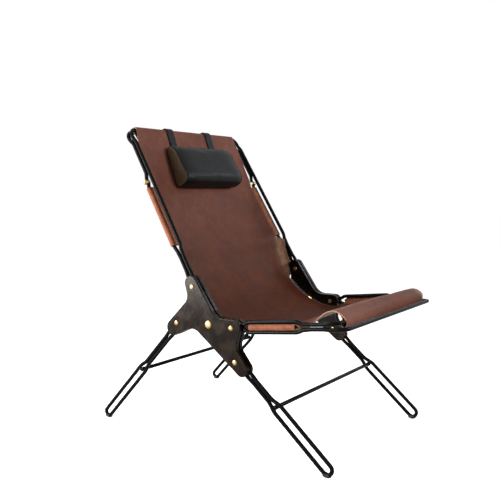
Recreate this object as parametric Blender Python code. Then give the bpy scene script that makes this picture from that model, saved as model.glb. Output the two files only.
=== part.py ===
"""Lounge chair: four hairpin legs, a seat loop and a back loop of twin steel rod, clamped between pairs of
walnut plates, with one leather hide slung between them and a head cushion that slides on two straps.

Metres, +Z up. The chair faces -Y, and its left side is at -X in this file's names (seen from the front).
The side frames lie in two planes at X = -SIDE and X = +SIDE. Places in those planes are given from the hub bolt.
"""

import math

import bmesh
import bpy
from mathutils import Matrix, Vector

# Rods
SIDE = 0.290
ROD = 0.012
ROD_PITCH = 0.0159
CORNER_RADIUS = 0.024
CLEAR = 0.0003
WELD_GAP = 0.0005

# Walnut plates
PLATE_THICKNESS = 0.012
PLATE_GAP = 0.007
PLATE_BEVEL = 0.0018
HUB_HEIGHT = 0.370
BACK_TIP_RADIUS = 0.022
SEAT_TIP_RADIUS = 0.023
FRONT_LEG_TIP_RADIUS = 0.021
REAR_LEG_TIP_RADIUS = 0.024
BACK_TIP_PAST_BOLT = 0.012
SEAT_TIP_PAST_BOLT = 0.009
FRONT_LEG_TIP_PAST_BOLT = 0.029
REAR_LEG_TIP_PAST_BOLT = 0.023
VALLEY_RADIUS_BACK_REAR = 0.033
VALLEY_RADIUS_REAR_FRONT = 0.042
VALLEY_RADIUS_FRONT_SEAT = 0.031
VALLEY_RADIUS_SEAT_BACK = 0.046
VALLEY_REACH_BACK_REAR = 0.139
VALLEY_REACH_REAR_FRONT = 0.0887
VALLEY_REACH_FRONT_SEAT = 0.1417
VALLEY_REACH_SEAT_BACK = 0.0836
VALLEY_ANGLE_BACK_REAR = 34.3
VALLEY_ANGLE_REAR_FRONT = -44.8
VALLEY_ANGLE_FRONT_SEAT = 201.3
VALLEY_ANGLE_SEAT_BACK = 125.0
VALLEY_MARGIN = 0.002

# Directions of the four arms, in degrees from level
BACK_SLOPE = 58.9
SEAT_SLOPE = 6.9
FRONT_LEG_SLOPE = 40.2
REAR_LEG_SLOPE = 46.8

# Bolts in the plates, from the hub
BACK_BOLT_Y = 0.0625
BACK_BOLT_Z = 0.1055
SEAT_BOLT_Y = -0.082
SEAT_BOLT_Z = -0.001
FRONT_LEG_BOLT_Y = -0.096
FRONT_LEG_BOLT_Z = -0.099
REAR_LEG_BOLT_Y = 0.124
REAR_LEG_BOLT_Z = -0.009
BOLT_SHANK = 0.0033
BOLT_HEAD = 0.0155
BOLT_HEAD_HEIGHT = 0.0032
HUB_SHANK = 0.008
HUB_HEAD = 0.024
HUB_HEAD_HEIGHT = 0.0042
HEAD_SLOT_WIDTH = 0.0018
HEAD_SLOT_DEPTH = 0.0012
NUT_FLANGE = 0.0135
NUT_FLANGE_HEIGHT = 0.0022
NUT_WALL = 0.0016
NUT_LENGTH = 0.009
HUB_NUT_FLANGE = 0.020
NUT_FLOOR = 0.0012

# How far each pair of rods reaches back into the plates past its bolt
BACK_ROD_TAIL = 0.094
SEAT_ROD_TAIL = 0.045
FRONT_LEG_TAIL = 0.082
REAR_LEG_TAIL = 0.034

# Back loop, measured up the back from its bolt
BACK_REACH = 0.553
BACK_TAPER = 0.013
BACK_TAPER_START = 0.036
BACK_WIDE_START = 0.141
BACK_WIDE_END = 0.350
BACK_RAMP_LOWER = 0.023
BACK_RAMP_UPPER = 0.012
BACK_FRONT_WIDE_END = 0.498
BACK_FRONT_RAMP_UPPER = 0.030
BACK_REAR_CLOSE = 0.0082
BACK_REAR_CLOSE_START = 0.399
BACK_REAR_CLOSE_RAMP = 0.026
BACK_FRONT_BOW = 0.005
BACK_REAR_BOW = 0.004

# Seat loop, measured forward along the seat from its bolt
SEAT_UPPER_REACH = 0.3395
SEAT_LOWER_REACH = 0.3606
SEAT_WIDE_START = 0.056
SEAT_WIDE_END = 0.208
SEAT_RAMP_REAR = 0.021
SEAT_RAMP_FRONT = 0.029
SEAT_BOW = 0.0066
KEEPER = 0.010
KEEPER_OVERHANG = 0.010
KEEPER_POINT = 0.007
KEEPER_POINT_DIAMETER = 0.004
KEEPER_OUT = 0.0042

# Legs, measured from their bolts. Past the plates the two rods of a leg close up until they nearly touch
LEG_PITCH = 0.0126
LEG_CLOSE_START = 0.052
LEG_CLOSE_RUN = 0.030
FRONT_LOOP_HALF = 0.015
FRONT_SPLAY_START = 0.140
FRONT_SPLAY = 0.045
REAR_LOOP_HALF = 0.0125
REAR_SPLAY_START = 0.1985
REAR_SPLAY = 0.036
CROSS_ROD = 0.012
CROSS_ROD_INSET = 0.0015

# Foot glides
GLIDE_WALL = 0.002
GLIDE_FLAT = 0.0007
GLIDE_HALF_ANGLE = 34.0
GLIDE_WRAP_HALF_ANGLE = 118.0

# Leather hide
LEATHER = 0.0032
LEATHER_CLEAR = 0.0004
LAYER_GAP = 0.0005
TOP_HALF_WIDTH = 0.251
HIDE_INSET = 0.024
FLAP_INSET = 0.028
BEND_HALF_WIDTH = 0.264
FRONT_HALF_WIDTH = 0.259
FLAP_ROOT_THICKNESS = 0.0024
TOP_MERGE = 0.052
TOP_RETURN = 0.102
BACK_LEAN_SLOPE = 0.19
BACK_STRAIGHT_RUN = 0.258
BACK_SAG_EASE = 0.070
BACK_EDGE_SINK = 0.007
SLEEVE_START = 0.142
SLEEVE_END = 0.349
SEAT_SLEEVE_START = 0.058
SEAT_SLEEVE_END = 0.206
SEAT_SAG = 0.034
SEAT_EDGE_SINK = 0.010
BEND_EDGE_SEAT_PULL = 0.065
BEND_EDGE_SEAT_ANGLE = -40.0
BEND_EDGE_BACK_PULL = 0.2025
BEND_EDGE_BACK_ANGLE = 268.0
BEND_MIDDLE_SEAT_PULL = 0.092
BEND_MIDDLE_SEAT_ANGLE = -14.0
BEND_MIDDLE_BACK_PULL = 0.165
BEND_MIDDLE_BACK_ANGLE = 253.0
HUMP_PEAK = 0.029
HUMP_LENGTH = 0.103
HUMP_RISE = 0.032
SAG_POWER = 4
COLUMN_SHARES = (0.0, 0.28, 0.54, 0.76, 0.91, 1.0)
FRONT_CURL_SHARES = ((0.0, 1.0), (0.17, 0.985), (0.45, 0.8), (0.74, 0.49), (0.93, 0.2))
REAR_SLOPE_SHARES = ((0.12, 0.955), (0.28, 0.81), (0.46, 0.545), (0.64, 0.33), (0.82, 0.13))

# Sleeve studs on the rear back rod
STUD_RING_WALL = 0.002
STUD_RING_LENGTH = 0.008
STUD_BALL = 0.015
STUD_BALL_OFFSET = 0.0095

# Head cushion and its straps, measured down the hide from the top rod
CUSHION_HALF_WIDTH = 0.151
CUSHION_TOP = 0.059
CUSHION_HEIGHT = 0.152
CUSHION_DEPTH = 0.062
CUSHION_END_DRAW = 0.0045
CUSHION_SECTION_SHARES = (
    (0.035, 0.0), (0.35, 0.0), (0.7, 0.0), (0.965, 0.0), (0.995, 0.06), (1.0, 0.2), (0.985, 0.34),
    (0.945, 0.47), (0.885, 0.575), (0.8, 0.66), (0.68, 0.735), (0.54, 0.81), (0.4, 0.895), (0.3, 0.965),
    (0.22, 0.995), (0.14, 0.98), (0.075, 0.88), (0.035, 0.68), (0.01, 0.4), (0.0, 0.14), (0.01, 0.04),
)
STRAP_WIDTH = 0.032
STRAP_THICKNESS = 0.0024
STRAP_SPACING = 0.200
STRAP_LENGTH = 0.160
STRAP_STAND_OFF = 0.0025
STRAP_REAR_STAND_OFF = 0.0008
STRAP_TAIL_END = 0.097
STRAP_TAIL_FLAT = 0.026
LOOP_WALL = 0.0011
LOOP_CLEAR = 0.0005
LOOP_FLANGE = 0.007
LOOP_LENGTH = 0.022
LOOP_PLACE = 0.089
STRAP_STUD = 0.010
STRAP_STUD_HEIGHT = 0.0022
STRAP_STUD_SHANK = 0.004
STRAP_STUD_FROM_END = 0.013

OVERRUN = 0.02

ROUND_SIDES = 16
ROD_BEVEL_RESOLUTION = 3
ARC_STEPS = 5
RAMP_STEPS = 4

BLACK_STEEL = ("black_steel", (0.014, 0.014, 0.015, 1.0), 0.34, 1.0)
WALNUT = ("ebonised_walnut", (0.030, 0.019, 0.014, 1.0), 0.42, 0.0)
BRASS = ("polished_brass", (0.78, 0.58, 0.27, 1.0), 0.22, 1.0)
HIDE = ("saddle_leather", (0.115, 0.048, 0.034, 1.0), 0.45, 0.0)
BLACK_LEATHER = ("black_leather", (0.012, 0.012, 0.013, 1.0), 0.40, 0.0)
BLACK_NYLON = ("black_nylon", (0.012, 0.012, 0.012, 1.0), 0.55, 0.0)


def clear_scene():
    for obj in list(bpy.data.objects):
        bpy.data.objects.remove(obj)


def material(spec):
    name, colour, roughness, metallic = spec
    found = bpy.data.materials.get(name)
    if found:
        return found
    made = bpy.data.materials.new(name)
    made.use_nodes = True
    shader = made.node_tree.nodes["Principled BSDF"]
    shader.inputs["Base Color"].default_value = colour
    shader.inputs["Roughness"].default_value = roughness
    shader.inputs["Metallic"].default_value = metallic
    made.diffuse_color = colour
    return made


class Line:
    """A straight line in a side plane: `s` runs along it from a bolt, `off` stands square to it."""

    def __init__(self, y, z, angle, turn):
        self.y = y
        self.z = z
        self.dy = math.cos(math.radians(angle))
        self.dz = math.sin(math.radians(angle))
        self.ny = -turn * self.dz
        self.nz = turn * self.dy

    def flat(self, s, off=0.0):
        """(y, z) from the hub."""
        return (self.y + s * self.dy + off * self.ny, self.z + s * self.dz + off * self.nz)

    def point(self, x, s, off=0.0):
        return world(x, *self.flat(s, off))

    def direction(self):
        return Vector((0, self.dy, self.dz))

    def normal(self):
        return Vector((0, self.ny, self.nz))


BACK = Line(BACK_BOLT_Y, BACK_BOLT_Z, BACK_SLOPE, 1)
SEAT = Line(SEAT_BOLT_Y, SEAT_BOLT_Z, 180.0 - SEAT_SLOPE, -1)
FRONT_LEG = Line(FRONT_LEG_BOLT_Y, FRONT_LEG_BOLT_Z, 180.0 + FRONT_LEG_SLOPE, -1)
REAR_LEG = Line(REAR_LEG_BOLT_Y, REAR_LEG_BOLT_Z, -REAR_LEG_SLOPE, 1)


def foot_place(line, loop_half):
    """How far down a leg the centre of its foot bend lies, so that the glide's flat is on the ground."""
    height = loop_half + ROD / 2 + CLEAR + GLIDE_WALL - GLIDE_FLAT
    return (height - HUB_HEIGHT - line.z) / line.dz


def hub_y():
    """Puts the middle of the chair's depth at Y = 0: from the front crossbar to the rear feet."""
    front = SEAT.flat(SEAT_LOWER_REACH, -ROD_PITCH / 2)[0] - ROD / 2
    rear_reach = REAR_LOOP_HALF + ROD / 2
    rear = REAR_LEG.flat(foot_place(REAR_LEG, REAR_LOOP_HALF))[0] + rear_reach
    return -(front + rear) / 2


HUB_Y = hub_y()


def rail_x(line, s):
    """The rods' distance from the middle of the chair: the back loop leans in a little towards its top."""
    if line is not BACK:
        return SIDE
    return SIDE - BACK_TAPER * max(0.0, (s - BACK_TAPER_START) / (BACK_REACH - BACK_TAPER_START))


def world(x, y, z):
    return Vector((x, HUB_Y + y, HUB_HEIGHT + z))


def smooth(share):
    """0 to 1 with level ends."""
    share = min(1.0, max(0.0, share))
    return (1 - math.cos(math.pi * share)) / 2


def swell(s, start, end, ramps):
    """1 between start and end, falling to 0 over a ramp outside each."""
    return min(smooth((s - start) / ramps[0] + 1), smooth((end - s) / ramps[1] + 1))


def spread(first, last, count):
    return [first + (last - first) * k / (count - 1) for k in range(count)]


def new_object(name, data, spec):
    data.materials.append(material(spec))
    obj = bpy.data.objects.new(name, data)
    bpy.context.scene.collection.objects.link(obj)
    return obj


def shade(mesh, angle=35.0):
    mesh.shade_smooth()
    mesh.set_sharp_from_angle(angle=math.radians(angle))


def mesh_from(bm, name):
    bmesh.ops.recalc_face_normals(bm, faces=bm.faces)
    mesh = bpy.data.meshes.new(name)
    bm.to_mesh(mesh)
    bm.free()
    return mesh


def helper(name, mesh):
    """A cutter: it shapes other pieces and is no piece itself."""
    obj = bpy.data.objects.new(name, mesh)
    bpy.context.scene.collection.objects.link(obj)
    obj.hide_render = True
    obj.display_type = "WIRE"
    return obj


def cut(obj, cutter):
    boolean = obj.modifiers.new(cutter.name, "BOOLEAN")
    boolean.operation = "DIFFERENCE"
    boolean.object = cutter


def tube(name, points, diameter, spec):
    """A round rod along the points, with closed ends."""
    curve = bpy.data.curves.new(name, "CURVE")
    curve.dimensions = "3D"
    spline = curve.splines.new("POLY")
    spline.points.add(len(points) - 1)
    for place, point in zip(spline.points, points):
        place.co = (*point, 1.0)
    curve.bevel_depth = diameter / 2
    curve.bevel_resolution = ROD_BEVEL_RESOLUTION
    curve.use_fill_caps = True
    spline.use_smooth = True
    return new_object(name, curve, spec)


def basis(axis):
    """A rotation that turns +Z onto the axis."""
    return Vector((0, 0, 1)).rotation_difference(axis).to_matrix().to_4x4()


def add_cylinder(bm, start, end, diameter, sides=ROUND_SIDES):
    axis = end - start
    turn = Matrix.Translation((start + end) / 2) @ basis(axis.normalized())
    bmesh.ops.create_cone(
        bm,
        cap_ends=True,
        segments=sides,
        radius1=diameter / 2,
        radius2=diameter / 2,
        depth=axis.length,
        matrix=turn,
    )


def add_turned(bm, profile, place, sides=ROUND_SIDES):
    """Turns a closed profile of (radius, height) round +Z, then puts it in place with a matrix."""
    rings = []
    for radius, height in profile:
        if radius == 0:
            rings.append([bm.verts.new(place @ Vector((0, 0, height)))])
            continue
        ring = []
        for k in range(sides):
            angle = 2 * math.pi * k / sides
            spot = Vector((radius * math.cos(angle), radius * math.sin(angle), height))
            ring.append(bm.verts.new(place @ spot))
        rings.append(ring)
    closed = rings[0] if len(rings[0]) > 1 else None
    pairs = list(zip(rings, rings[1:]))
    if closed:
        pairs.append((rings[-1], closed))
    for one, two in pairs:
        for k in range(sides):
            after = (k + 1) % sides
            corners = [one[k % len(one)], one[after % len(one)], two[after % len(two)], two[k % len(two)]]
            distinct = list(dict.fromkeys(corners))
            if len(distinct) > 2:
                bm.faces.new(distinct)


def solid_turned(name, profile, place, spec, angle=35.0):
    bm = bmesh.new()
    add_turned(bm, profile, place)
    mesh = mesh_from(bm, name)
    shade(mesh, angle)
    return new_object(name, mesh, spec)


def tangent_angle(one, two):
    """The direction from a rounded tip's centre to the point where its crossed tangent to the next circle starts.

    Both circles are (y, z, radius, turn), and an outline that runs anticlockwise rounds a tip with turn 1 and a
    valley with turn -1.
    """
    dy, dz = two[0] - one[0], two[1] - one[1]
    distance = math.hypot(dy, dz)
    lean = math.acos(min(1.0, (one[2] + two[2]) / distance))
    return math.atan2(dz, dy) - one[3] * lean


def arc(circle, start, end):
    """Points round a circle from one direction to another, anticlockwise for a tip and clockwise for a valley."""
    y, z, radius, turn = circle
    sweep = (end - start) * turn % (2 * math.pi) * turn
    return [
        (y + radius * math.cos(start + sweep * k / ARC_STEPS), z + radius * math.sin(start + sweep * k / ARC_STEPS))
        for k in range(ARC_STEPS + 1)
    ]


def tip(line, past, radius):
    y, z = line.flat(past)
    return (y, z, radius, 1)


def valley(reach, angle, radius, neighbours):
    y = reach * math.cos(math.radians(angle))
    z = reach * math.sin(math.radians(angle))
    room = min(math.hypot(n[0] - y, n[1] - z) - n[2] for n in neighbours) - VALLEY_MARGIN
    return (y, z, min(radius, room), -1)


def plate_outline():
    """The plate's edge: a round tip on each arm and a round valley between arms, joined by straight tangents."""
    back = tip(BACK, BACK_TIP_PAST_BOLT, BACK_TIP_RADIUS)
    seat = tip(SEAT, SEAT_TIP_PAST_BOLT, SEAT_TIP_RADIUS)
    front = tip(FRONT_LEG, FRONT_LEG_TIP_PAST_BOLT, FRONT_LEG_TIP_RADIUS)
    rear = tip(REAR_LEG, REAR_LEG_TIP_PAST_BOLT, REAR_LEG_TIP_RADIUS)
    circles = [
        back,
        valley(VALLEY_REACH_SEAT_BACK, VALLEY_ANGLE_SEAT_BACK, VALLEY_RADIUS_SEAT_BACK, (seat, back)),
        seat,
        valley(VALLEY_REACH_FRONT_SEAT, VALLEY_ANGLE_FRONT_SEAT, VALLEY_RADIUS_FRONT_SEAT, (front, seat)),
        front,
        valley(VALLEY_REACH_REAR_FRONT, VALLEY_ANGLE_REAR_FRONT, VALLEY_RADIUS_REAR_FRONT, (rear, front)),
        rear,
        valley(VALLEY_REACH_BACK_REAR, VALLEY_ANGLE_BACK_REAR, VALLEY_RADIUS_BACK_REAR, (back, rear)),
    ]
    count = len(circles)
    outline = []
    for k, circle in enumerate(circles):
        leaving = tangent_angle(circle, circles[(k + 1) % count])
        arriving = tangent_angle(circles[k - 1], circle) + math.pi
        outline += arc(circle, arriving, leaving)
    return outline


def plate(name, side, inner):
    """One walnut plate. `inner` is 1 on the side of the sitter and -1 on the outside."""
    near = SIDE - inner * PLATE_GAP / 2
    far = near - inner * PLATE_THICKNESS
    bm = bmesh.new()
    ring = [bm.verts.new(world(side * near, y, z)) for y, z in plate_outline()]
    face = bm.faces.new(ring)
    moved = bmesh.ops.extrude_face_region(bm, geom=[face])
    extruded = [v for v in moved["geom"] if isinstance(v, bmesh.types.BMVert)]
    bmesh.ops.translate(bm, verts=extruded, vec=(side * (far - near), 0, 0))
    shown = [e for e in bm.edges if all(abs(abs(v.co.x) - far) < CLEAR for v in e.verts)]
    bmesh.ops.bevel(bm, geom=shown, offset=PLATE_BEVEL, segments=2, affect="EDGES", profile=0.5)
    mesh = mesh_from(bm, name)
    shade(mesh)
    return new_object(name, mesh, WALNUT)


ARM_LINES = (
    (BACK, BACK_ROD_TAIL),
    (SEAT, SEAT_ROD_TAIL),
    (FRONT_LEG, FRONT_LEG_TAIL),
    (REAR_LEG, REAR_LEG_TAIL),
)


def groove_cutter(side):
    """The eight rod channels of one pair of plates."""
    bm = bmesh.new()
    for line, tail in ARM_LINES:
        for off in (-ROD_PITCH / 2, ROD_PITCH / 2):
            start = line.point(side * SIDE, -tail - CLEAR, off)
            end = line.point(side * SIDE, FRONT_LEG_TIP_PAST_BOLT + REAR_LEG_TIP_RADIUS + OVERRUN, off)
            add_cylinder(bm, start, end, ROD + 2 * CLEAR)
    return helper(f"groove_cutter_{side_name(side)}", mesh_from(bm, "groove_cutter"))


def bolt_places():
    return [line.flat(0.0) for line, _ in ARM_LINES]


def hole_cutter(side, inner, shank, wall, places, name):
    """Bolt holes through an outer plate, or the wider nut holes through an inner plate."""
    bm = bmesh.new()
    diameter = shank + 2 * CLEAR + (2 * (wall + CLEAR) if inner > 0 else 0)
    for y, z in places:
        start = world(side * SIDE, y, z)
        end = world(side * (SIDE - inner * (PLATE_THICKNESS + PLATE_GAP + OVERRUN)), y, z)
        add_cylinder(bm, start, end, diameter)
    return helper(name, mesh_from(bm, name))


def side_name(side):
    return "left" if side < 0 else "right"


def make_plates():
    for side in (-1, 1):
        grooves = groove_cutter(side)
        for inner in (-1, 1):
            where = "inner" if inner > 0 else "outer"
            obj = plate(f"plate_{where}_{side_name(side)}", side, inner)
            cut(obj, grooves)
            tag = f"{where}_{side_name(side)}"
            cut(obj, hole_cutter(side, inner, BOLT_SHANK, NUT_WALL, bolt_places(), f"bolt_hole_{tag}"))
            cut(obj, hole_cutter(side, inner, HUB_SHANK, NUT_WALL, [(0.0, 0.0)], f"hub_hole_{tag}"))


def loop_path(line, sign, tail, reach, bows):
    """A rod that leaves the left plates, runs along `line`, crosses at its end and comes back on the right."""
    stations = [-tail, BACK_TAPER_START]
    for _, (start, end), ramps in bows:
        stations += spread(start - ramps[0], start, RAMP_STEPS)
        stations += spread(end, end + ramps[1], RAMP_STEPS)
    run = []
    for s in sorted(stations):
        bow = sum(size * swell(s, start, end, ramps) for size, (start, end), ramps in bows)
        run.append((rail_x(line, s), s, sign * (ROD_PITCH / 2 + bow)))
    off = sign * ROD_PITCH / 2
    for k in range(ARC_STEPS + 1):
        angle = math.radians(90.0 * k / ARC_STEPS)
        s = reach - CORNER_RADIUS * (1 - math.sin(angle))
        run.append((rail_x(line, s) - CORNER_RADIUS * (1 - math.cos(angle)), s, off))
    left = [line.point(-x, s, o) for x, s, o in run]
    right = [line.point(x, s, o) for x, s, o in reversed(run)]
    return left + right


def make_loops():
    """The front back rod stays bowed up to the corner, and the rear one closes up on it above the sleeve."""
    top_ramp = BACK_FRONT_RAMP_UPPER
    front_bow = (BACK_FRONT_BOW, (BACK_WIDE_START, BACK_FRONT_WIDE_END), (BACK_RAMP_LOWER, top_ramp))
    rear_bow = (BACK_REAR_BOW, (BACK_WIDE_START, BACK_WIDE_END), (BACK_RAMP_LOWER, BACK_RAMP_UPPER))
    closed = (-BACK_REAR_CLOSE, (BACK_REAR_CLOSE_START, BACK_FRONT_WIDE_END), (BACK_REAR_CLOSE_RAMP, top_ramp))
    for name, sign, bows in (("back_front_rod", 1, (front_bow,)), ("back_rear_rod", -1, (rear_bow, closed))):
        tube(name, loop_path(BACK, sign, BACK_ROD_TAIL, BACK_REACH, bows), ROD, BLACK_STEEL)
    seat_bow = (SEAT_BOW, (SEAT_WIDE_START, SEAT_WIDE_END), (SEAT_RAMP_REAR, SEAT_RAMP_FRONT))
    for name, sign, reach in (("seat_upper_rod", 1, SEAT_UPPER_REACH), ("seat_lower_rod", -1, SEAT_LOWER_REACH)):
        tube(name, loop_path(SEAT, sign, SEAT_ROD_TAIL, reach, (seat_bow,)), ROD, BLACK_STEEL)
    for side in (-1, 1):
        make_keeper(side)


def make_keeper(side):
    """The rod in the seat's side pocket: it lies outside the two rails, too thick to pull between them."""
    start = SEAT_SLEEVE_START - KEEPER_OVERHANG
    length = SEAT_SLEEVE_END + KEEPER_OVERHANG - start
    radius = KEEPER / 2
    point = KEEPER_POINT_DIAMETER / 2
    profile = [
        (0.0, 0.0),
        (point, 0.0),
        (radius, KEEPER_POINT),
        (radius, length - KEEPER_POINT),
        (point, length),
        (0.0, length),
    ]
    place = Matrix.Translation(SEAT.point(side * (SIDE + KEEPER_OUT), start)) @ basis(SEAT.direction())
    solid_turned(f"seat_keeper_rod_{side_name(side)}", profile, place, BLACK_STEEL)


def leg_half_spacing(s, loop_half, start, length):
    closing = (ROD_PITCH - LEG_PITCH) / 2 * (1 - smooth((s - LEG_CLOSE_START) / LEG_CLOSE_RUN))
    return LEG_PITCH / 2 + closing + (loop_half - LEG_PITCH / 2) * smooth((s - start) / length)


def make_leg(name, line, side, tail, loop_half, start, length):
    foot = foot_place(line, loop_half)
    stations = [-tail, LEG_CLOSE_START, LEG_CLOSE_START + LEG_CLOSE_RUN]
    stations += spread(start, start + length, ARC_STEPS + 2)
    run = [(s, leg_half_spacing(s, loop_half, start, length)) for s in stations]
    bend = 2 * ARC_STEPS
    path = [line.point(side * SIDE, s, off) for s, off in run]
    for k in range(bend + 1):
        angle = math.pi * k / bend
        path.append(line.point(side * SIDE, foot + loop_half * math.sin(angle), loop_half * math.cos(angle)))
    path += [line.point(side * SIDE, s, -off) for s, off in reversed(run)]
    return tube(name, path, ROD, BLACK_STEEL)


def cross_place(loop_half, start, length):
    """Where on the splay the cross rod just fits between the two rods of the leg."""
    steepest = (loop_half - LEG_PITCH / 2) / length * math.pi / 2
    need = ((ROD + CROSS_ROD) / 2 + WELD_GAP) * math.hypot(1, steepest)
    share = (need - LEG_PITCH / 2) / (loop_half - LEG_PITCH / 2)
    return start + length * math.acos(1 - 2 * min(1.0, share)) / math.pi


def make_legs():
    legs = (
        ("front", FRONT_LEG, FRONT_LEG_TAIL, FRONT_LOOP_HALF, FRONT_SPLAY_START, FRONT_SPLAY),
        ("rear", REAR_LEG, REAR_LEG_TAIL, REAR_LOOP_HALF, REAR_SPLAY_START, REAR_SPLAY),
    )
    for where, line, tail, loop_half, start, length in legs:
        for side in (-1, 1):
            make_leg(f"leg_{where}_{side_name(side)}", line, side, tail, loop_half, start, length)
            make_glide(f"foot_glide_{where}_{side_name(side)}", line, side, loop_half)
        s = cross_place(loop_half, start, length)
        end = SIDE + ROD / 2 - CROSS_ROD_INSET
        path = [line.point(x, s) for x in spread(-end, end, 4)]
        tube(f"cross_rod_{where}", path, CROSS_ROD, BLACK_STEEL)


def glide_section():
    """Half-open ring round the rod, as (outward from the bend's centre, across) from the rod's own centre."""
    inner = ROD / 2 + CLEAR
    outer = inner + GLIDE_WALL
    reach = math.radians(GLIDE_WRAP_HALF_ANGLE)
    angles = spread(-reach, reach, ARC_STEPS + 3)
    ring = [(outer * math.cos(a), outer * math.sin(a)) for a in angles]
    ring += [(inner * math.cos(a), inner * math.sin(a)) for a in reversed(angles)]
    return ring


def make_glide(name, line, side, loop_half):
    """A clip round the foot bend, turned about the bend's centre and cut flat where it stands."""
    centre = line.point(side * SIDE, foot_place(line, loop_half))
    bm = bmesh.new()
    rings = []
    half = math.radians(GLIDE_HALF_ANGLE)
    for angle in spread(-half, half, ARC_STEPS):
        outward = Vector((0, math.sin(angle), -math.cos(angle)))
        ring = []
        for out, across in glide_section():
            ring.append(bm.verts.new(centre + outward * (loop_half + out) + Vector((across, 0, 0))))
        rings.append(ring)
    count = len(rings[0])
    for one, two in zip(rings, rings[1:]):
        for k in range(count):
            after = (k + 1) % count
            bm.faces.new((one[k], one[after], two[after], two[k]))
    for ring in (rings[0], rings[-1]):
        bridge_end(bm, ring)
    mesh = mesh_from(bm, name)
    shade(mesh)
    obj = new_object(name, mesh, BLACK_NYLON)
    floor = bmesh.new()
    size = Vector((OVERRUN, loop_half + OVERRUN, OVERRUN)) * 2
    below = Vector((centre.x, centre.y, -OVERRUN))
    bmesh.ops.create_cube(floor, size=1, matrix=Matrix.Translation(below) @ Matrix.Diagonal((*size, 1)))
    cut(obj, helper(f"floor_cutter_{name}", mesh_from(floor, "floor_cutter")))


def bridge_end(bm, ring):
    """Closes a half-open ring's end with quads from its outer edge to its inner edge."""
    half = len(ring) // 2
    for k in range(half - 1):
        bm.faces.new((ring[k], ring[k + 1], ring[-2 - k], ring[-1 - k]))


def head_profile(head, height, shank, length):
    """A low domed head with its shank, as a closed turned profile from the dome's top to the shank's end."""
    crown_shares = ((0.0, 1.0), (0.45, 0.93), (0.78, 0.72), (0.95, 0.42), (1.0, 0.25), (1.0, 0.0))
    dome = [(head / 2 * r, height * h) for r, h in crown_shares]
    return dome + [(shank / 2, 0.0), (shank / 2, -length), (0.0, -length)]


def outward(side, x, y, z):
    """A frame at a point, whose +Z looks out of the chair's side."""
    return Matrix.Translation(world(side * x, y, z)) @ basis(Vector((side, 0, 0)))


def make_bolt(name, side, place_flat, head, height, shank):
    """A slotted bolt through both plates, between the two rods that it clamps."""
    face = SIDE + PLATE_GAP / 2 + PLATE_THICKNESS + CLEAR
    inner_face = SIDE - PLATE_GAP / 2 - PLATE_THICKNESS
    length = face - inner_face - NUT_FLOOR
    place = outward(side, face, *place_flat)
    obj = solid_turned(name, head_profile(head, height, shank, length), place, BRASS)
    size = Matrix.Diagonal((head + OVERRUN, HEAD_SLOT_WIDTH, 2 * HEAD_SLOT_DEPTH, 1))
    slot = bmesh.new()
    bmesh.ops.create_cube(slot, size=1, matrix=place @ Matrix.Translation((0, 0, height)) @ size)
    cut(obj, helper(f"slot_{name}", mesh_from(slot, "slot")))


def make_nut(name, side, place_flat, flange, shank):
    """A barrel nut, set into the inner plate from the sitter's side, with a blind bore for its bolt."""
    inner_face = SIDE - PLATE_GAP / 2 - PLATE_THICKNESS - CLEAR
    bore = shank / 2 + CLEAR
    barrel = bore + NUT_WALL
    floor = NUT_FLOOR - CLEAR
    profile = [
        (0.0, -NUT_FLANGE_HEIGHT),
        (flange / 2, -NUT_FLANGE_HEIGHT),
        (flange / 2, 0.0),
        (barrel, 0.0),
        (barrel, NUT_LENGTH),
        (bore, NUT_LENGTH),
        (bore, floor),
        (0.0, floor),
    ]
    solid_turned(name, profile, outward(side, inner_face, *place_flat), BRASS)


def make_fasteners():
    arms = ("back", "seat", "front_leg", "rear_leg")
    for side in (-1, 1):
        where = side_name(side)
        for arm, place in zip(arms, bolt_places()):
            make_bolt(f"bolt_{arm}_{where}", side, place, BOLT_HEAD, BOLT_HEAD_HEIGHT, BOLT_SHANK)
            make_nut(f"nut_{arm}_{where}", side, place, NUT_FLANGE, BOLT_SHANK)
        make_bolt(f"hub_bolt_{where}", side, (0.0, 0.0), HUB_HEAD, HUB_HEAD_HEIGHT, HUB_SHANK)
        make_nut(f"hub_nut_{where}", side, (0.0, 0.0), HUB_NUT_FLANGE, HUB_SHANK)


def make_sleeve_studs():
    """A ring on each side of the rear back rod with a ball on its outer side, above the leather sleeve."""
    bore = ROD / 2 + CLEAR
    wall = bore + STUD_RING_WALL
    half = STUD_RING_LENGTH / 2
    s = BACK_WIDE_END + BACK_RAMP_UPPER + CLEAR + half
    for side in (-1, 1):
        spot = BACK.point(side * rail_x(BACK, s), s, -ROD_PITCH / 2)
        place = Matrix.Translation(spot) @ basis(BACK.direction())
        name = f"sleeve_stud_{side_name(side)}"
        obj = solid_turned(name, [(wall, half), (bore, half), (bore, -half), (wall, -half)], place, BRASS)
        ball = bmesh.new()
        at = Matrix.Translation(spot + Vector((side * STUD_BALL_OFFSET, 0, 0)))
        bmesh.ops.create_uvsphere(
            ball, u_segments=ROUND_SIDES, v_segments=ROUND_SIDES // 2, radius=STUD_BALL / 2, matrix=at
        )
        join(obj, helper(f"ball_{name}", mesh_from(ball, "ball")))
        drill = bmesh.new()
        reach = BACK.direction() * STUD_BALL
        add_cylinder(drill, spot - reach, spot + reach, 2 * bore)
        cut(obj, helper(f"bore_{name}", mesh_from(drill, "bore")))


def bezier(p0, p1, p2, p3, t):
    k = 1 - t
    weights = (k * k * k, 3 * k * k * t, 3 * k * t * t, t * t * t)
    return tuple(sum(w * p[i] for w, p in zip(weights, (p0, p1, p2, p3))) for i in range(2))


def pulled(point, length, angle):
    return (point[0] + length * math.cos(math.radians(angle)), point[1] + length * math.sin(math.radians(angle)))


WRAP = ROD / 2 + LEATHER_CLEAR + LEATHER / 2
LEAN = math.atan(BACK_LEAN_SLOPE)
TOP_ROD_OFF = ROD_PITCH / 2


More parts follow.
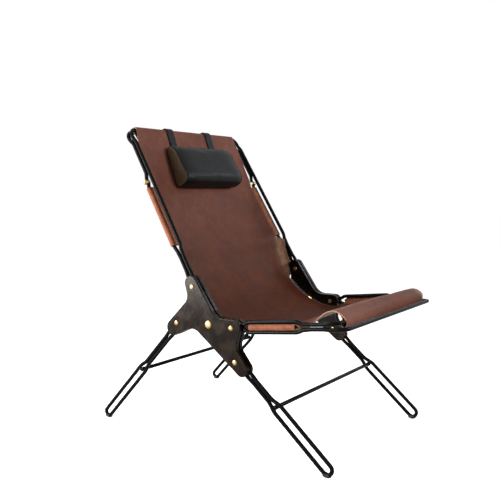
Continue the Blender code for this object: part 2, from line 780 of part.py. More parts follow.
def lean_line(down, rise):
    """(y, z) at a distance down the hide's straight run from the top rod, and a height square to it."""
    s = BACK_REACH - down * math.cos(LEAN) - rise * math.sin(LEAN)
    off = TOP_ROD_OFF - down * math.sin(LEAN) + rise * math.cos(LEAN)
    return BACK.flat(s, off)


def lean_direction():
    return BACK.direction() * math.cos(LEAN) + BACK.normal() * math.sin(LEAN)


def lean_normal():
    return BACK.normal() * math.cos(LEAN) - BACK.direction() * math.sin(LEAN)


def back_middle(s):
    """How far the middle of the hide stands from the back's own plane: straight at first, then easing."""
    turn_s = BACK_REACH - BACK_STRAIGHT_RUN * math.cos(LEAN) - WRAP * math.sin(LEAN)
    turn_off = TOP_ROD_OFF - BACK_STRAIGHT_RUN * math.sin(LEAN) + WRAP * math.cos(LEAN)
    if s >= turn_s:
        return turn_off + (s - turn_s) * BACK_LEAN_SLOPE
    fall = 1 - math.exp((s - turn_s) / BACK_SAG_EASE)
    return turn_off - BACK_LEAN_SLOPE * BACK_SAG_EASE * fall


def back_edge(s):
    """The same for the hide's edge, which comes from the top rod's front to the sleeve."""
    share = max(0.0, (s - SLEEVE_END) / (BACK_REACH - SLEEVE_END))
    return -BACK_EDGE_SINK + (TOP_ROD_OFF + WRAP + BACK_EDGE_SINK) * share**1.5


def top_return(s, front_off):
    """The layer behind the front one: it leaves the top rod's rear and closes up to the front layer."""
    closed = front_off - LEATHER - LAYER_GAP
    free = TOP_ROD_OFF - WRAP
    return free + (closed - free) * min(1.0, (BACK_REACH - s) / TOP_MERGE)


def sling_rows():
    """The hide from its front hem to its top return, as rows of (edge place, middle place, half width).

    Places are (y, z) from the hub. The edge place holds at the hide's two sides, the middle place at X = 0.
    """
    rows = []
    layer = LEATHER + LAYER_GAP
    rod_s, rod_off = SEAT_UPPER_REACH, ROD_PITCH / 2
    crest_s, crest_off = rod_s - HUMP_PEAK, rod_off + HUMP_RISE
    nose_s = rod_s + WRAP

    def level(place, half_width):
        rows.append((place, place, half_width))

    def curl(share):
        along, up = share
        return (crest_s + (nose_s - crest_s) * along, rod_off + (crest_off - rod_off) * up)

    inner = [curl(share) for share in FRONT_CURL_SHARES[2:4]]
    for k, (s, off) in enumerate(inner):
        after = inner[min(k + 1, len(inner) - 1)]
        before = inner[max(k - 1, 0)]
        ds, doff = after[0] - before[0], after[1] - before[1]
        size = math.hypot(ds, doff)
        level(SEAT.flat(s + doff / size * layer, off - ds / size * layer), FRONT_HALF_WIDTH)
    for angle in spread(112.0, 360.0, 3 * ARC_STEPS - 5):
        lean = math.radians(angle)
        level(SEAT.flat(rod_s + WRAP * math.cos(lean), rod_off + WRAP * math.sin(lean)), FRONT_HALF_WIDTH)
    for share in reversed(FRONT_CURL_SHARES):
        level(SEAT.flat(*curl(share)), FRONT_HALF_WIDTH)
    seat_s = SEAT_SLEEVE_START - LEATHER

    def middle_of(s):
        """The middle runs straight from the roll's crest to its lowest place, so it stands over the rails in front."""
        return SEAT.flat(s, -SEAT_SAG + (crest_off + SEAT_SAG) * (s - seat_s) / (crest_s - seat_s))

    for along, up in REAR_SLOPE_SHARES:
        s = crest_s - HUMP_LENGTH * along
        edge = SEAT.flat(s, -SEAT_EDGE_SINK + (crest_off + SEAT_EDGE_SINK) * up)
        rows.append((edge, middle_of(s), FRONT_HALF_WIDTH + (SIDE - HIDE_INSET - FRONT_HALF_WIDTH) * along))
    for s in spread(SEAT_SLEEVE_END + LEATHER, seat_s, 5):
        rows.append((SEAT.flat(s, -SEAT_EDGE_SINK), middle_of(s), SIDE - HIDE_INSET))
    back_s = SLEEVE_START - LEATHER
    edge_ends = (SEAT.flat(seat_s, -SEAT_EDGE_SINK), BACK.flat(back_s, back_edge(back_s)))
    middle_ends = (SEAT.flat(seat_s, -SEAT_SAG), BACK.flat(back_s, back_middle(back_s)))
    edge_pulls = (
        pulled(edge_ends[0], BEND_EDGE_SEAT_PULL, BEND_EDGE_SEAT_ANGLE),
        pulled(edge_ends[1], BEND_EDGE_BACK_PULL, BEND_EDGE_BACK_ANGLE),
    )
    middle_pulls = (
        pulled(middle_ends[0], BEND_MIDDLE_SEAT_PULL, BEND_MIDDLE_SEAT_ANGLE),
        pulled(middle_ends[1], BEND_MIDDLE_BACK_PULL, BEND_MIDDLE_BACK_ANGLE),
    )
    for share in spread(0.0, 1.0, 12)[1:-1]:
        edge = bezier(edge_ends[0], *edge_pulls, edge_ends[1], share)
        middle = bezier(middle_ends[0], *middle_pulls, middle_ends[1], share)
        rows.append((edge, middle, BEND_HALF_WIDTH))
    for s in spread(back_s, SLEEVE_END + LEATHER, 6):
        width = rail_x(BACK, s) - HIDE_INSET
        rows.append((BACK.flat(s, back_edge(s)), BACK.flat(s, back_middle(s)), width))
    for s in spread(SLEEVE_END + LEATHER, BACK_REACH, 9)[1:]:
        width = min(rail_x(BACK, s) - HIDE_INSET, TOP_HALF_WIDTH)
        middle = min(back_middle(s), TOP_ROD_OFF + WRAP)
        rows.append((BACK.flat(s, back_edge(s)), BACK.flat(s, middle), width))
    for angle in spread(0.0, 180.0, 10)[1:]:
        lean = math.radians(angle)
        place = BACK.flat(BACK_REACH + WRAP * math.sin(lean), TOP_ROD_OFF + WRAP * math.cos(lean))
        level(place, TOP_HALF_WIDTH)
    for s in spread(BACK_REACH, BACK_REACH - TOP_RETURN, 9)[1:]:
        edge = BACK.flat(s, top_return(s, back_edge(s)))
        middle = BACK.flat(s, top_return(s, min(back_middle(s), TOP_ROD_OFF + WRAP)))
        rows.append((edge, middle, TOP_HALF_WIDTH))
    return rows


def thick_sheet(rows):
    """A closed solid from rows of places: each point stands half the leather's thickness off the middle."""
    shares = [-share for share in reversed(COLUMN_SHARES[1:])] + list(COLUMN_SHARES)
    grid = []
    for edge, middle, half_width in rows:
        line = []
        for share in shares:
            depth = 1 - abs(share) ** SAG_POWER
            y, z = (e + (m - e) * depth for e, m in zip(edge, middle))
            line.append(world(share * half_width, y, z))
        grid.append(line)
    bm = bmesh.new()
    last_row, last_column = len(grid) - 1, len(shares) - 1
    skins = ([], [])
    for r, line in enumerate(grid):
        for skin in skins:
            skin.append([])
        for c, spot in enumerate(line):
            along = grid[min(r + 1, last_row)][c] - grid[max(r - 1, 0)][c]
            across = grid[r][min(c + 1, last_column)] - grid[r][max(c - 1, 0)]
            stand = across.cross(along).normalized() * (LEATHER / 2)
            skins[0][-1].append(bm.verts.new(spot + stand))
            skins[1][-1].append(bm.verts.new(spot - stand))
    for skin in skins:
        for r in range(last_row):
            for c in range(last_column):
                bm.faces.new((skin[r][c], skin[r][c + 1], skin[r + 1][c + 1], skin[r + 1][c]))
    top, bottom = skins
    for r in range(last_row):
        for c in (0, last_column):
            bm.faces.new((top[r][c], top[r + 1][c], bottom[r + 1][c], bottom[r][c]))
    for c in range(last_column):
        for r in (0, last_row):
            bm.faces.new((top[r][c], top[r][c + 1], bottom[r][c + 1], bottom[r][c]))
    return bm


def sleeve_places():
    """(line, outward shift, off, from, to, root off, rod inside) of the back sleeves and the seat pockets."""
    back_off = -(ROD_PITCH / 2 + BACK_REAR_BOW)
    return (
        (BACK, 0.0, back_off, SLEEVE_START, SLEEVE_END, -BACK_EDGE_SINK, ROD),
        (SEAT, KEEPER_OUT, 0.0, SEAT_SLEEVE_START, SEAT_SLEEVE_END, -SEAT_EDGE_SINK, KEEPER),
    )


def join(obj, other):
    boolean = obj.modifiers.new(other.name, "BOOLEAN")
    boolean.operation = "UNION"
    boolean.object = other


def add_flap(bm, line, side, shift, off, start, end, root_off):
    """The doubled leather between a sleeve and the hide, as a wedge that is thick at the sleeve."""
    thick = LEATHER + LAYER_GAP / 2
    thin = FLAP_ROOT_THICKNESS / 2
    root = -FLAP_INSET
    shape = ((shift, off + thick), (shift, off - thick), (root, root_off - thin), (root, root_off + thin))
    if line is BACK:
        face = off + WRAP + LEATHER / 2 - CLEAR
        shape = ((shift, face), (shift, off), (root, root_off - thin), (root, root_off + thin))
    ends = []
    for s in (start, end):
        ends.append([bm.verts.new(line.point(side * (rail_x(line, s) + u), s, v)) for u, v in shape])
    bm.faces.new(ends[0])
    bm.faces.new(ends[1])
    for k in range(4):
        after = (k + 1) % 4
        bm.faces.new((ends[0][k], ends[0][after], ends[1][after], ends[1][k]))


def make_sling():
    obj = new_object("sling", mesh_from(thick_sheet(sling_rows()), "sling"), HIDE)
    shells, flaps, bores = bmesh.new(), bmesh.new(), bmesh.new()
    for line, shift, off, start, end, root_off, inside in sleeve_places():
        bore = inside + 2 * LEATHER_CLEAR
        for side in (-1, 1):
            one = line.point(side * (rail_x(line, start) + shift), start, off)
            two = line.point(side * (rail_x(line, end) + shift), end, off)
            reach = (two - one).normalized() * OVERRUN
            add_cylinder(shells, one, two, bore + 2 * LEATHER)
            add_cylinder(bores, one - reach, two + reach, bore)
            inset = ROD / 4
            add_flap(flaps, line, side, shift, off, start + inset, end - inset, root_off)
    join(obj, helper("sling_flaps", mesh_from(flaps, "flaps")))
    join(obj, helper("sling_shells", mesh_from(shells, "shells")))
    cut(obj, helper("sling_bores", mesh_from(bores, "bores")))
    cut(obj, strap_stud_holes("sling_stud_holes"))
    shade(obj.data, 40.0)


def strap_rise():
    """From the top rod's centre to the middle of a strap, square to the hide."""
    return WRAP + LEATHER / 2 + STRAP_STAND_OFF + STRAP_THICKNESS / 2


def tail_rise():
    """The same for a strap's tail, which lies against the hide's return layer."""
    return WRAP - LEATHER - LAYER_GAP - LEATHER / 2 - 2 * CLEAR - STRAP_THICKNESS / 2


def strap_path():
    """From behind the cushion, up the hide, over both top rods, and down to the return layer."""
    path = [lean_line(STRAP_LENGTH * share, strap_rise()) for share in (1.0, 0.75, 0.5, 0.25)]
    front, rear = strap_rise(), ROD / 2 + STRAP_REAR_STAND_OFF + STRAP_THICKNESS / 2
    tilt = math.asin((front - rear) / ROD_PITCH)
    rear_off = -ROD_PITCH / 2

    def round_rod(off, radius, angle):
        return BACK.flat(BACK_REACH + radius * math.sin(angle), off + radius * math.cos(angle))

    over = math.pi / 2 + tilt
    path += [round_rod(TOP_ROD_OFF, front, angle) for angle in spread(-LEAN, over, 2 * ARC_STEPS)]
    meet = lean_line(STRAP_TAIL_END - STRAP_TAIL_FLAT, tail_rise())
    centre = BACK.flat(BACK_REACH, rear_off)
    gap_y, gap_z = meet[0] - centre[0], meet[1] - centre[1]
    along = gap_y * BACK.dy + gap_z * BACK.dz
    ahead = gap_y * BACK.ny + gap_z * BACK.nz
    leave = math.atan2(along, ahead) % (2 * math.pi) - math.acos(rear / math.hypot(along, ahead))
    path += [round_rod(rear_off, rear, angle) for angle in spread(over, leave, ARC_STEPS)]
    path += [meet, lean_line(STRAP_TAIL_END, tail_rise())]
    return path


def make_ribbon(bm, x, path, width, thickness):
    """A strap of even thickness along a path in the side plane."""
    count = len(path)
    rings = []
    for k, (y, z) in enumerate(path):
        before, after = path[max(k - 1, 0)], path[min(k + 1, count - 1)]
        dy, dz = after[0] - before[0], after[1] - before[1]
        size = math.hypot(dy, dz)
        ny, nz = dz / size * thickness / 2, -dy / size * thickness / 2
        wide = width / 2
        corners = ((-wide, 1), (wide, 1), (wide, -1), (-wide, -1))
        rings.append([bm.verts.new(world(x + w, y + t * ny, z + t * nz)) for w, t in corners])
    for one, two in zip(rings, rings[1:]):
        for k in range(4):
            after = (k + 1) % 4
            bm.faces.new((one[k], one[after], two[after], two[k]))
    bm.faces.new(rings[0])
    bm.faces.new(rings[-1])


def lean_point(x, down, rise):
    return world(x, *lean_line(down, rise))


STUD_DOWN = STRAP_TAIL_END - STRAP_STUD_FROM_END


def strap_stud_holes(name):
    """Clearance holes through the strap tails and the hide's return layer, short of the front layer."""
    bm = bmesh.new()
    for side in (-1, 1):
        x = side * STRAP_SPACING / 2
        start = lean_point(x, STUD_DOWN, tail_rise() - OVERRUN)
        end = lean_point(x, STUD_DOWN, WRAP - LEATHER / 2 - CLEAR)
        add_cylinder(bm, start, end, STRAP_STUD_SHANK + 2 * CLEAR)
    return helper(name, mesh_from(bm, name))


def make_straps():
    holes = strap_stud_holes("strap_stud_holes")
    path = strap_path()
    for side in (-1, 1):
        name = f"head_strap_{side_name(side)}"
        bm = bmesh.new()
        make_ribbon(bm, side * STRAP_SPACING / 2, path, STRAP_WIDTH, STRAP_THICKNESS)
        mesh = mesh_from(bm, name)
        shade(mesh)
        cut(new_object(name, mesh, BLACK_LEATHER), holes)
        seat = tail_rise() - STRAP_THICKNESS / 2 - CLEAR
        place = Matrix.Translation(lean_point(side * STRAP_SPACING / 2, STUD_DOWN, seat))
        length = WRAP - LEATHER / 2 - LAYER_GAP - seat
        profile = head_profile(STRAP_STUD, STRAP_STUD_HEIGHT, STRAP_STUD_SHANK, length)
        solid_turned(f"strap_stud_{side_name(side)}", profile, place @ basis(-lean_normal()), BRASS)


def cushion_rise():
    return strap_rise() + STRAP_THICKNESS / 2 + CLEAR


def make_cushion():
    """A bolster that is thick at its lower edge, drawn in at its two sewn ends."""
    stations = (1.0, 0.985, 0.94, 0.8, 0.5, 0.2)
    bm = bmesh.new()
    rings = []
    for share in [-s for s in stations] + list(reversed(stations)):
        draw = CUSHION_END_DRAW * max(0.0, abs(share) - 0.5) ** 3 * 8
        ring = []
        for up, out in CUSHION_SECTION_SHARES:
            down = CUSHION_TOP + draw + (CUSHION_HEIGHT - 2 * draw) * (1 - up)
            rise = cushion_rise() + (CUSHION_DEPTH - 2 * draw) * out
            ring.append(bm.verts.new(lean_point(share * CUSHION_HALF_WIDTH, down, rise)))
        rings.append(ring)
    count = len(rings[0])
    for one, two in zip(rings, rings[1:]):
        for k in range(count):
            after = (k + 1) % count
            bm.faces.new((one[k], one[after], two[after], two[k]))
    bm.faces.new(rings[0])
    bm.faces.new(rings[-1])
    mesh = mesh_from(bm, "head_cushion")
    shade(mesh, 40.0)
    new_object("head_cushion", mesh, BLACK_LEATHER)
    for side in (-1, 1):
        make_loop(side)


def make_loop(side):
    """A leather keeper on the cushion's back, round the strap that runs through it."""
    inner = STRAP_WIDTH / 2 + LOOP_CLEAR
    outer = inner + LOOP_WALL
    wide = outer + LOOP_FLANGE
    top = cushion_rise() - CLEAR
    flange = top - LOOP_WALL
    floor = strap_rise() - STRAP_THICKNESS / 2 - LOOP_CLEAR
    bottom = floor - LOOP_WALL
    half_outline = ((inner, top), (wide, top), (wide, flange), (outer, flange), (outer, bottom))
    outline = list(half_outline) + [(-u, v) for u, v in reversed(half_outline)]
    outline += [(-inner, floor), (inner, floor)]
    bm = bmesh.new()
    ends = []
    for down in (LOOP_PLACE, LOOP_PLACE + LOOP_LENGTH):
        ends.append([bm.verts.new(lean_point(side * STRAP_SPACING / 2 + u, down, v)) for u, v in outline])
    count = len(outline)
    bm.faces.new(ends[0])
    bm.faces.new(ends[1])
    for k in range(count):
        after = (k + 1) % count
        bm.faces.new((ends[0][k], ends[0][after], ends[1][after], ends[1][k]))
    name = f"cushion_loop_{side_name(side)}"
    new_object(name, mesh_from(bm, name), BLACK_LEATHER)


def make_all():
    clear_scene()
    make_plates()
    make_loops()
    make_legs()
    make_fasteners()
    make_sleeve_studs()
    make_sling()
    make_straps()
    make_cushion()


make_all()
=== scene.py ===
"""Looks of the lounge chair: steel rod frame, walnut star plates, leather sling and black head cushion."""

import random
from math import acos, asin, atan, atan2, cos, degrees, exp, hypot, pi, radians, sin, sqrt

import bmesh
import bpy
import numpy as np
from mathutils import Matrix, Vector
from mathutils import noise as field
from mathutils.bvhtree import BVHTree

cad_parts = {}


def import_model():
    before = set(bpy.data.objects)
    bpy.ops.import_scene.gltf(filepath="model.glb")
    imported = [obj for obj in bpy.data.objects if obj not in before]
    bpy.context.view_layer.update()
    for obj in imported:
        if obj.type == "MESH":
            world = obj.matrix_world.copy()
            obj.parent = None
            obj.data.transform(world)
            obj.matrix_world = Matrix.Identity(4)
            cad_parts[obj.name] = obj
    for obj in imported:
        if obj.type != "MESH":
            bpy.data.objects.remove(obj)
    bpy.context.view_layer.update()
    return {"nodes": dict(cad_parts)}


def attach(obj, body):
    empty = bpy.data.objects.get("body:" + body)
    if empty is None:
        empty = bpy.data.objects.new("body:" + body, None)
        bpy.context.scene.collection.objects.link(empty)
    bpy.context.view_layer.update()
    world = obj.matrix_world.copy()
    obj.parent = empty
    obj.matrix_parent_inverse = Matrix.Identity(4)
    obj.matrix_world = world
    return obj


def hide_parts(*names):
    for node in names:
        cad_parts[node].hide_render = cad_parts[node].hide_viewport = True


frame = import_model()
random.seed(7)

# The chair's own sizes, as in its CAD source, in metres
SIDE = 0.290
ROD = 0.012
PITCH = 0.0159
LEG_PITCH = 0.0126
KEEPER = 0.010
KEEPER_OUT = 0.0042
BOLT_SHANK = 0.0033
HUB_SHANK = 0.008
NUT_WALL = 0.0016
CORNER_RADIUS = 0.024
CLEAR = 0.0003
PLATE = 0.012
PLATE_GAP = 0.007
PLATE_BEVEL = 0.0018
HUB_HEIGHT = 0.370
HUB_Y = -0.0083228
BACK_REACH = 0.553
UPPER_REACH, LOWER_REACH = 0.3395, 0.3606
TAILS = {"back": 0.094, "seat": 0.045, "front_leg": 0.082, "rear_leg": 0.034}
BACK_TAPER = 0.013
BACK_TAPER_START = 0.036
LEATHER = 0.0032
LAYER_GAP = 0.0005
WRAP = ROD / 2 + 0.0004 + LEATHER / 2
KEEPER_WRAP = KEEPER / 2 + 0.0004 + LEATHER / 2
TOP_OFF = PITCH / 2
LEAN_SLOPE, LEAN_LENGTH, LEAN_FADE = 0.19, 0.258, 0.070
LEAN = atan(LEAN_SLOPE)
SLEEVE = (0.142, 0.349)
POCKET = (0.058, 0.212)
BACK_SINK = 0.007
SEAT_SINK = 0.010
SEAT_SAG = 0.034
BACK_BOW = (0.005, 0.004)
STRAP_X = 0.100
STRAP_WIDTH = 0.032
STRAP_THICK = 0.0024
STRAP_RISE = WRAP + LEATHER / 2 + 0.0025 + STRAP_THICK / 2
TAIL_RISE = WRAP - LEATHER - LAYER_GAP - LEATHER / 2 - 2 * CLEAR - STRAP_THICK / 2
SIDES = ((-1, "left"), (1, "right"))


def remap(value, low, high):
    return min(1.0, max(0.0, (value - low) / (high - low)))


def smooth(share):
    """An even share from 0 to 1, or an array of them, with soft ends."""
    return (1 - np.cos(np.pi * np.clip(share, 0.0, 1.0))) / 2


def swell(s, wide, ramps):
    return min(smooth((s - wide[0]) / ramps[0] + 1), smooth((wide[1] - s) / ramps[1] + 1))


def spread(first, last, count):
    return [first + (last - first) * k / (count - 1) for k in range(count)]


def polar(radius, angle):
    return radius * cos(angle), radius * sin(angle)


def world(x, y, z):
    return Vector((x, HUB_Y + y, HUB_HEIGHT + z))


class Line:
    """A straight line in a side plane: s runs along it from a bolt, off stands square to it."""

    def __init__(self, y, z, angle, turn):
        self.y, self.z = y, z
        self.dy, self.dz = polar(1, radians(angle))
        self.ny, self.nz = -turn * self.dz, turn * self.dy
        self.direction = Vector((0, self.dy, self.dz))
        self.normal = Vector((0, self.ny, self.nz))

    def flat(self, s, off=0.0):
        return (self.y + s * self.dy + off * self.ny, self.z + s * self.dz + off * self.nz)

    def point(self, x, s, off=0.0):
        return world(x, *self.flat(s, off))

    def project(self, y, z):
        """(s, off) of a place in a side plane."""
        dy, dz = y - self.y, z - self.z
        return dy * self.dy + dz * self.dz, dy * self.ny + dz * self.nz


BACK = Line(0.0625, 0.1055, 58.9, 1)
SEAT = Line(-0.082, -0.001, 173.1, -1)
FRONT_LEG = Line(-0.096, -0.099, 220.2, -1)
REAR_LEG = Line(0.124, -0.009, -46.8, 1)
ARMS = {"back": BACK, "seat": SEAT, "front_leg": FRONT_LEG, "rear_leg": REAR_LEG}


def rail_x(line, s):
    """How far a side rod is from the middle plane. Only the back's loop leans in."""
    if line is not BACK:
        return SIDE
    return SIDE - BACK_TAPER * max(0.0, (s - BACK_TAPER_START) / (BACK_REACH - BACK_TAPER_START))


def lean_flat(down, rise):
    """A place on the top of the back: down from the top rod along the taut hide, and a rise from the rod."""
    s = BACK_REACH - down * cos(LEAN) - rise * sin(LEAN)
    return BACK.flat(s, TOP_OFF - down * sin(LEAN) + rise * cos(LEAN))


def lean_point(x, down, rise):
    return world(x, *lean_flat(down, rise))


LEAN_NORMAL = BACK.normal * cos(LEAN) - BACK.direction * sin(LEAN)


# Materials


class Nodes:
    """A node tree that grows by one call for each node."""

    def __init__(self, owner):
        owner.use_nodes = True
        self.owner, self.tree = owner, owner.node_tree

    def add(self, kind, values=(), **settings):
        node = self.tree.nodes.new(kind)
        for key, value in settings.items():
            setattr(node, key, value)
        for key, value in values:
            self.feed(node.inputs[key], value)
        return node

    def link(self, source, target):
        self.tree.links.new(source, target)

    def feed(self, socket, source):
        """A number, a colour or another node's output into a socket."""
        if isinstance(source, bpy.types.NodeSocket):
            self.link(source, socket)
        elif isinstance(source, tuple) and socket.type == "RGBA":
            socket.default_value = (*source, 1)
        else:
            socket.default_value = source

    def calc(self, one, two, operation="ADD"):
        return self.add("ShaderNodeMath", ((0, one), (1, two)), operation=operation).outputs[0]

    def rays(self, *kinds):
        """1 for the rays of these kinds and 0 for the others."""
        path = self.add("ShaderNodeLightPath")
        found = path.outputs[kinds[0]]
        for kind in kinds[1:]:
            found = self.calc(found, path.outputs[kind], "MAXIMUM")
        return found

    def glow(self, kind, strength, colour=(1, 1, 1)):
        return self.add(kind, (("Color", colour), ("Strength", strength))).outputs[0]

    def choose(self, factor, one, two):
        return self.add("ShaderNodeMixShader", ((0, factor), (1, one), (2, two))).outputs[0]


class Shader(Nodes):
    """A material whose nodes are added one call at a time."""

    def __init__(self, name):
        super().__init__(bpy.data.materials.new(name))
        self.base = self.tree.nodes["Principled BSDF"]
        self.place = self.add("ShaderNodeTexCoord").outputs["Object"]

    def scaled(self, scale, turn=(0, 0, 0), vector=None):
        node = self.add("ShaderNodeMapping", (("Scale", scale), ("Rotation", turn)))
        self.link(vector or self.place, node.inputs["Vector"])
        return node.outputs["Vector"]

    def noise(self, scale, detail=4.0, rough=0.55, vector=None, distortion=0.0):
        values = (("Scale", scale), ("Detail", detail), ("Roughness", rough), ("Distortion", distortion))
        node = self.add("ShaderNodeTexNoise", values)
        self.link(vector or self.place, node.inputs["Vector"])
        return node.outputs["Fac"]

    def pebbles(self, scale, ridge):
        """Leather grain: cells with soft grooves between them."""
        values = (("Scale", scale), ("Vector", self.place))
        node = self.add("ShaderNodeTexVoronoi", values, feature="DISTANCE_TO_EDGE")
        return self.ramp(node.outputs["Distance"], (0.0, 0.0), (ridge, 1.0))

    def ramp(self, source, *stops):
        node = self.add("ShaderNodeValToRGB", (("Fac", source),))
        marks = node.color_ramp.elements
        for k, (place, colour) in enumerate(stops):
            mark = marks[k] if k < len(marks) else marks.new(place)
            mark.position = place
            mark.color = (*colour, 1) if isinstance(colour, tuple) else (colour, colour, colour, 1)
        return node.outputs["Color"]

    def span(self, source, low, high, to_low, to_high):
        limits = (("From Min", low), ("From Max", high), ("To Min", to_low), ("To Max", to_high))
        return self.add("ShaderNodeMapRange", (("Value", source), *limits)).outputs["Result"]

    def mix(self, factor, one, two):
        node = self.add("ShaderNodeMix", data_type="RGBA")
        for key, source in ((0, factor), (6, one), (7, two)):
            self.feed(node.inputs[key], source)
        return node.outputs[2]

    def bump(self, height, strength, distance, after=None):
        values = (("Strength", strength), ("Distance", distance), ("Height", height))
        node = self.add("ShaderNodeBump", values)
        if after:
            self.link(after, node.inputs["Normal"])
        return node.outputs["Normal"]

    def finish(self, colour, rough, normal=None, **values):
        self.feed(self.base.inputs["Base Color"], colour)
        self.feed(self.base.inputs["Roughness"], rough)
        if normal:
            self.link(normal, self.base.inputs["Normal"])
        for key, value in values.items():
            self.base.inputs[key.replace("_", " ")].default_value = value
        return self.owner


def steel_material():
    """Black powder coat: fine orange peel and a few rubbed places."""
    s = Shader("black_powder_coat")
    peel = s.noise(620, 2)
    patches = s.noise(38, 5, 0.7)
    rub = s.ramp(patches, (0.62, 0.0), (0.78, 1.0))
    colour = s.mix(s.calc(rub, 0.35, "MULTIPLY"), (0.0035, 0.0034, 0.0036), (0.020, 0.019, 0.018))
    rough = s.span(patches, 0.3, 0.7, 0.24, 0.34)
    return s.finish(colour, rough, s.bump(peel, 0.08, 0.0002), IOR=1.13)


def walnut_material():
    """Ebonised walnut: open grain along the plate's long diagonal, worn a little lighter in patches."""
    s = Shader("dark_walnut")
    turned_place = s.scaled((1, 1, 1), (radians(-38), 0, 0))
    grain = s.noise(14, 8, 0.68, s.scaled((9, 9, 0.9), vector=turned_place), 0.35)
    pore = s.noise(16, 3, 0.6, s.scaled((40, 60, 3.2), vector=turned_place))
    cloud = s.noise(27, 4, 0.6)
    colour = s.ramp(
        grain,
        (0.28, (0.0034, 0.0024, 0.0019)),
        (0.46, (0.0095, 0.0062, 0.0044)),
        (0.60, (0.021, 0.0132, 0.0090)),
        (0.78, (0.046, 0.0290, 0.0195)),
    )
    colour = s.mix(s.ramp(pore, (0.50, 1.0), (0.62, 0.0)), colour, (0.0065, 0.0045, 0.0036))
    colour = s.mix(s.span(cloud, 0.46, 0.66, 0.0, 0.65), colour, (0.023, 0.0148, 0.0100))
    rough = s.span(cloud, 0.3, 0.7, 0.15, 0.26)
    height = s.calc(grain, s.calc(pore, 0.7, "MULTIPLY"))
    return s.finish(colour, rough, s.bump(height, 0.22, 0.0005), IOR=1.18)


def brass_material():
    s = Shader("worn_brass")
    cloud = s.noise(210, 4, 0.6)
    dark, plain, bright = (0.20, 0.115, 0.040), (0.43, 0.30, 0.14), (0.60, 0.46, 0.26)
    colour = s.ramp(cloud, (0.30, dark), (0.50, plain), (0.75, bright))
    rough = s.span(cloud, 0.3, 0.7, 0.50, 0.34)
    return s.finish(colour, rough, s.bump(s.noise(2200, 2), 0.06, 0.0001), Metallic=1.0)


def hide_face_material():
    """Vegetable-tanned saddle leather: pull-up clouds, grain, growth lines and small scratches, with painted
    shade towards the bottom and painted light on the front roll and on the tabs.
    """
    s = Shader("saddle_leather_face")
    axis = s.add("ShaderNodeSeparateXYZ", ((0, s.place),)).outputs
    cloud = s.noise(7.5, 6, 0.62)
    mottle = s.noise(46, 5, 0.65)
    speck = s.noise(420, 3, 0.6)
    # low and high are the same leather in painted shade and in painted light: mixed by height, the seat is
    # painted darker and the upper back lighter
    low = ((0.25, (0.034, 0.0078, 0.0030)), (0.50, (0.057, 0.0140, 0.0055)), (0.78, (0.096, 0.0265, 0.0105)))
    high = ((0.25, (0.100, 0.0360, 0.0245)), (0.50, (0.150, 0.0570, 0.0395)), (0.78, (0.200, 0.083, 0.060)))
    low, high = s.ramp(cloud, *low), s.ramp(cloud, *high)
    colour = s.mix(s.span(axis["Z"], 0.37, 0.92, 0.0, 1.0), low, high)
    # Painted highlight: the front roll takes the lighter colour again, most at its near end
    roll = s.span(axis["Y"], -0.335, -0.285, 1.0, 0.0)
    roll = s.calc(roll, s.span(axis["X"], -0.24, 0.05, 1.0, 0.15), "MULTIPLY")
    colour = s.mix(roll, colour, high)
    colour = s.mix(s.span(mottle, 0.35, 0.75, 0.0, 0.55), colour, s.mix(0.5, colour, (0.030, 0.010, 0.0065)))
    colour = s.mix(s.span(speck, 0.55, 0.8, 0.0, 0.30), colour, (0.020, 0.008, 0.006))
    long = s.scaled((1.0, 14, 9), (0.35, 0.2, 0.5))
    scratch = s.ramp(s.noise(26, 9, 0.75, long), (0.655, 0.0), (0.69, 1.0), (0.71, 0.0))
    colour = s.mix(s.calc(scratch, 0.30, "MULTIPLY"), colour, (0.235, 0.125, 0.085))
    pebble = s.noise(330, 4, 0.7)
    creases = s.noise(30, 7, 0.62, s.scaled((0.6, 1.7, 1.7)), 0.6)
    rim = s.add("ShaderNodeAttribute", attribute_name="rim").outputs["Fac"]
    tab = s.add("ShaderNodeAttribute", attribute_name="tab").outputs["Fac"]
    # Painted light: the tabs round the rods get a lighter, more orange tone, as if lit from the left
    tab_painted_light = ((0.30, (0.150, 0.050, 0.026)), (0.55, (0.250, 0.092, 0.050)), (0.80, (0.340, 0.140, 0.080)))
    colour = s.mix(s.calc(tab, 0.85, "MULTIPLY"), colour, s.ramp(mottle, *tab_painted_light))
    pale = s.ramp(mottle, (0.30, (0.130, 0.062, 0.036)), (0.70, (0.260, 0.150, 0.095)))
    colour = s.mix(rim, colour, pale)
    normal = s.bump(creases, 0.20, 0.0030)
    normal = s.bump(pebble, 0.22, 0.0007, normal)
    normal = s.bump(s.pebbles(820, 0.22), 0.14, 0.0003, normal)
    rough = s.span(s.calc(cloud, s.calc(mottle, 0.5, "MULTIPLY")), 0.55, 0.95, 0.44, 0.60)
    return s.finish(colour, rough, normal, IOR=1.16)


def hide_flesh_material():
    """The rough side: short brown nap."""
    s = Shader("saddle_leather_flesh")
    nap = s.noise(900, 4, 0.75)
    colour = s.ramp(s.noise(16, 5, 0.65), (0.30, (0.062, 0.030, 0.018)), (0.70, (0.120, 0.064, 0.040)))
    colour = s.mix(s.span(nap, 0.35, 0.7, 0.0, 0.6), colour, (0.045, 0.022, 0.014))
    return s.finish(colour, 0.92, s.bump(nap, 0.5, 0.0006), Sheen_Weight=0.25, Specular_IOR_Level=0.2)


def hide_edge_material():
    """The cut and burnished edge, with the paler middle of the leather."""
    s = Shader("saddle_leather_edge")
    fibre = s.noise(520, 4, 0.7)
    dark, plain, pale = (0.190, 0.088, 0.042), (0.330, 0.175, 0.092), (0.440, 0.255, 0.145)
    colour = s.ramp(fibre, (0.32, dark), (0.55, plain), (0.75, pale))
    return s.finish(colour, 0.50, s.bump(fibre, 0.3, 0.0004))


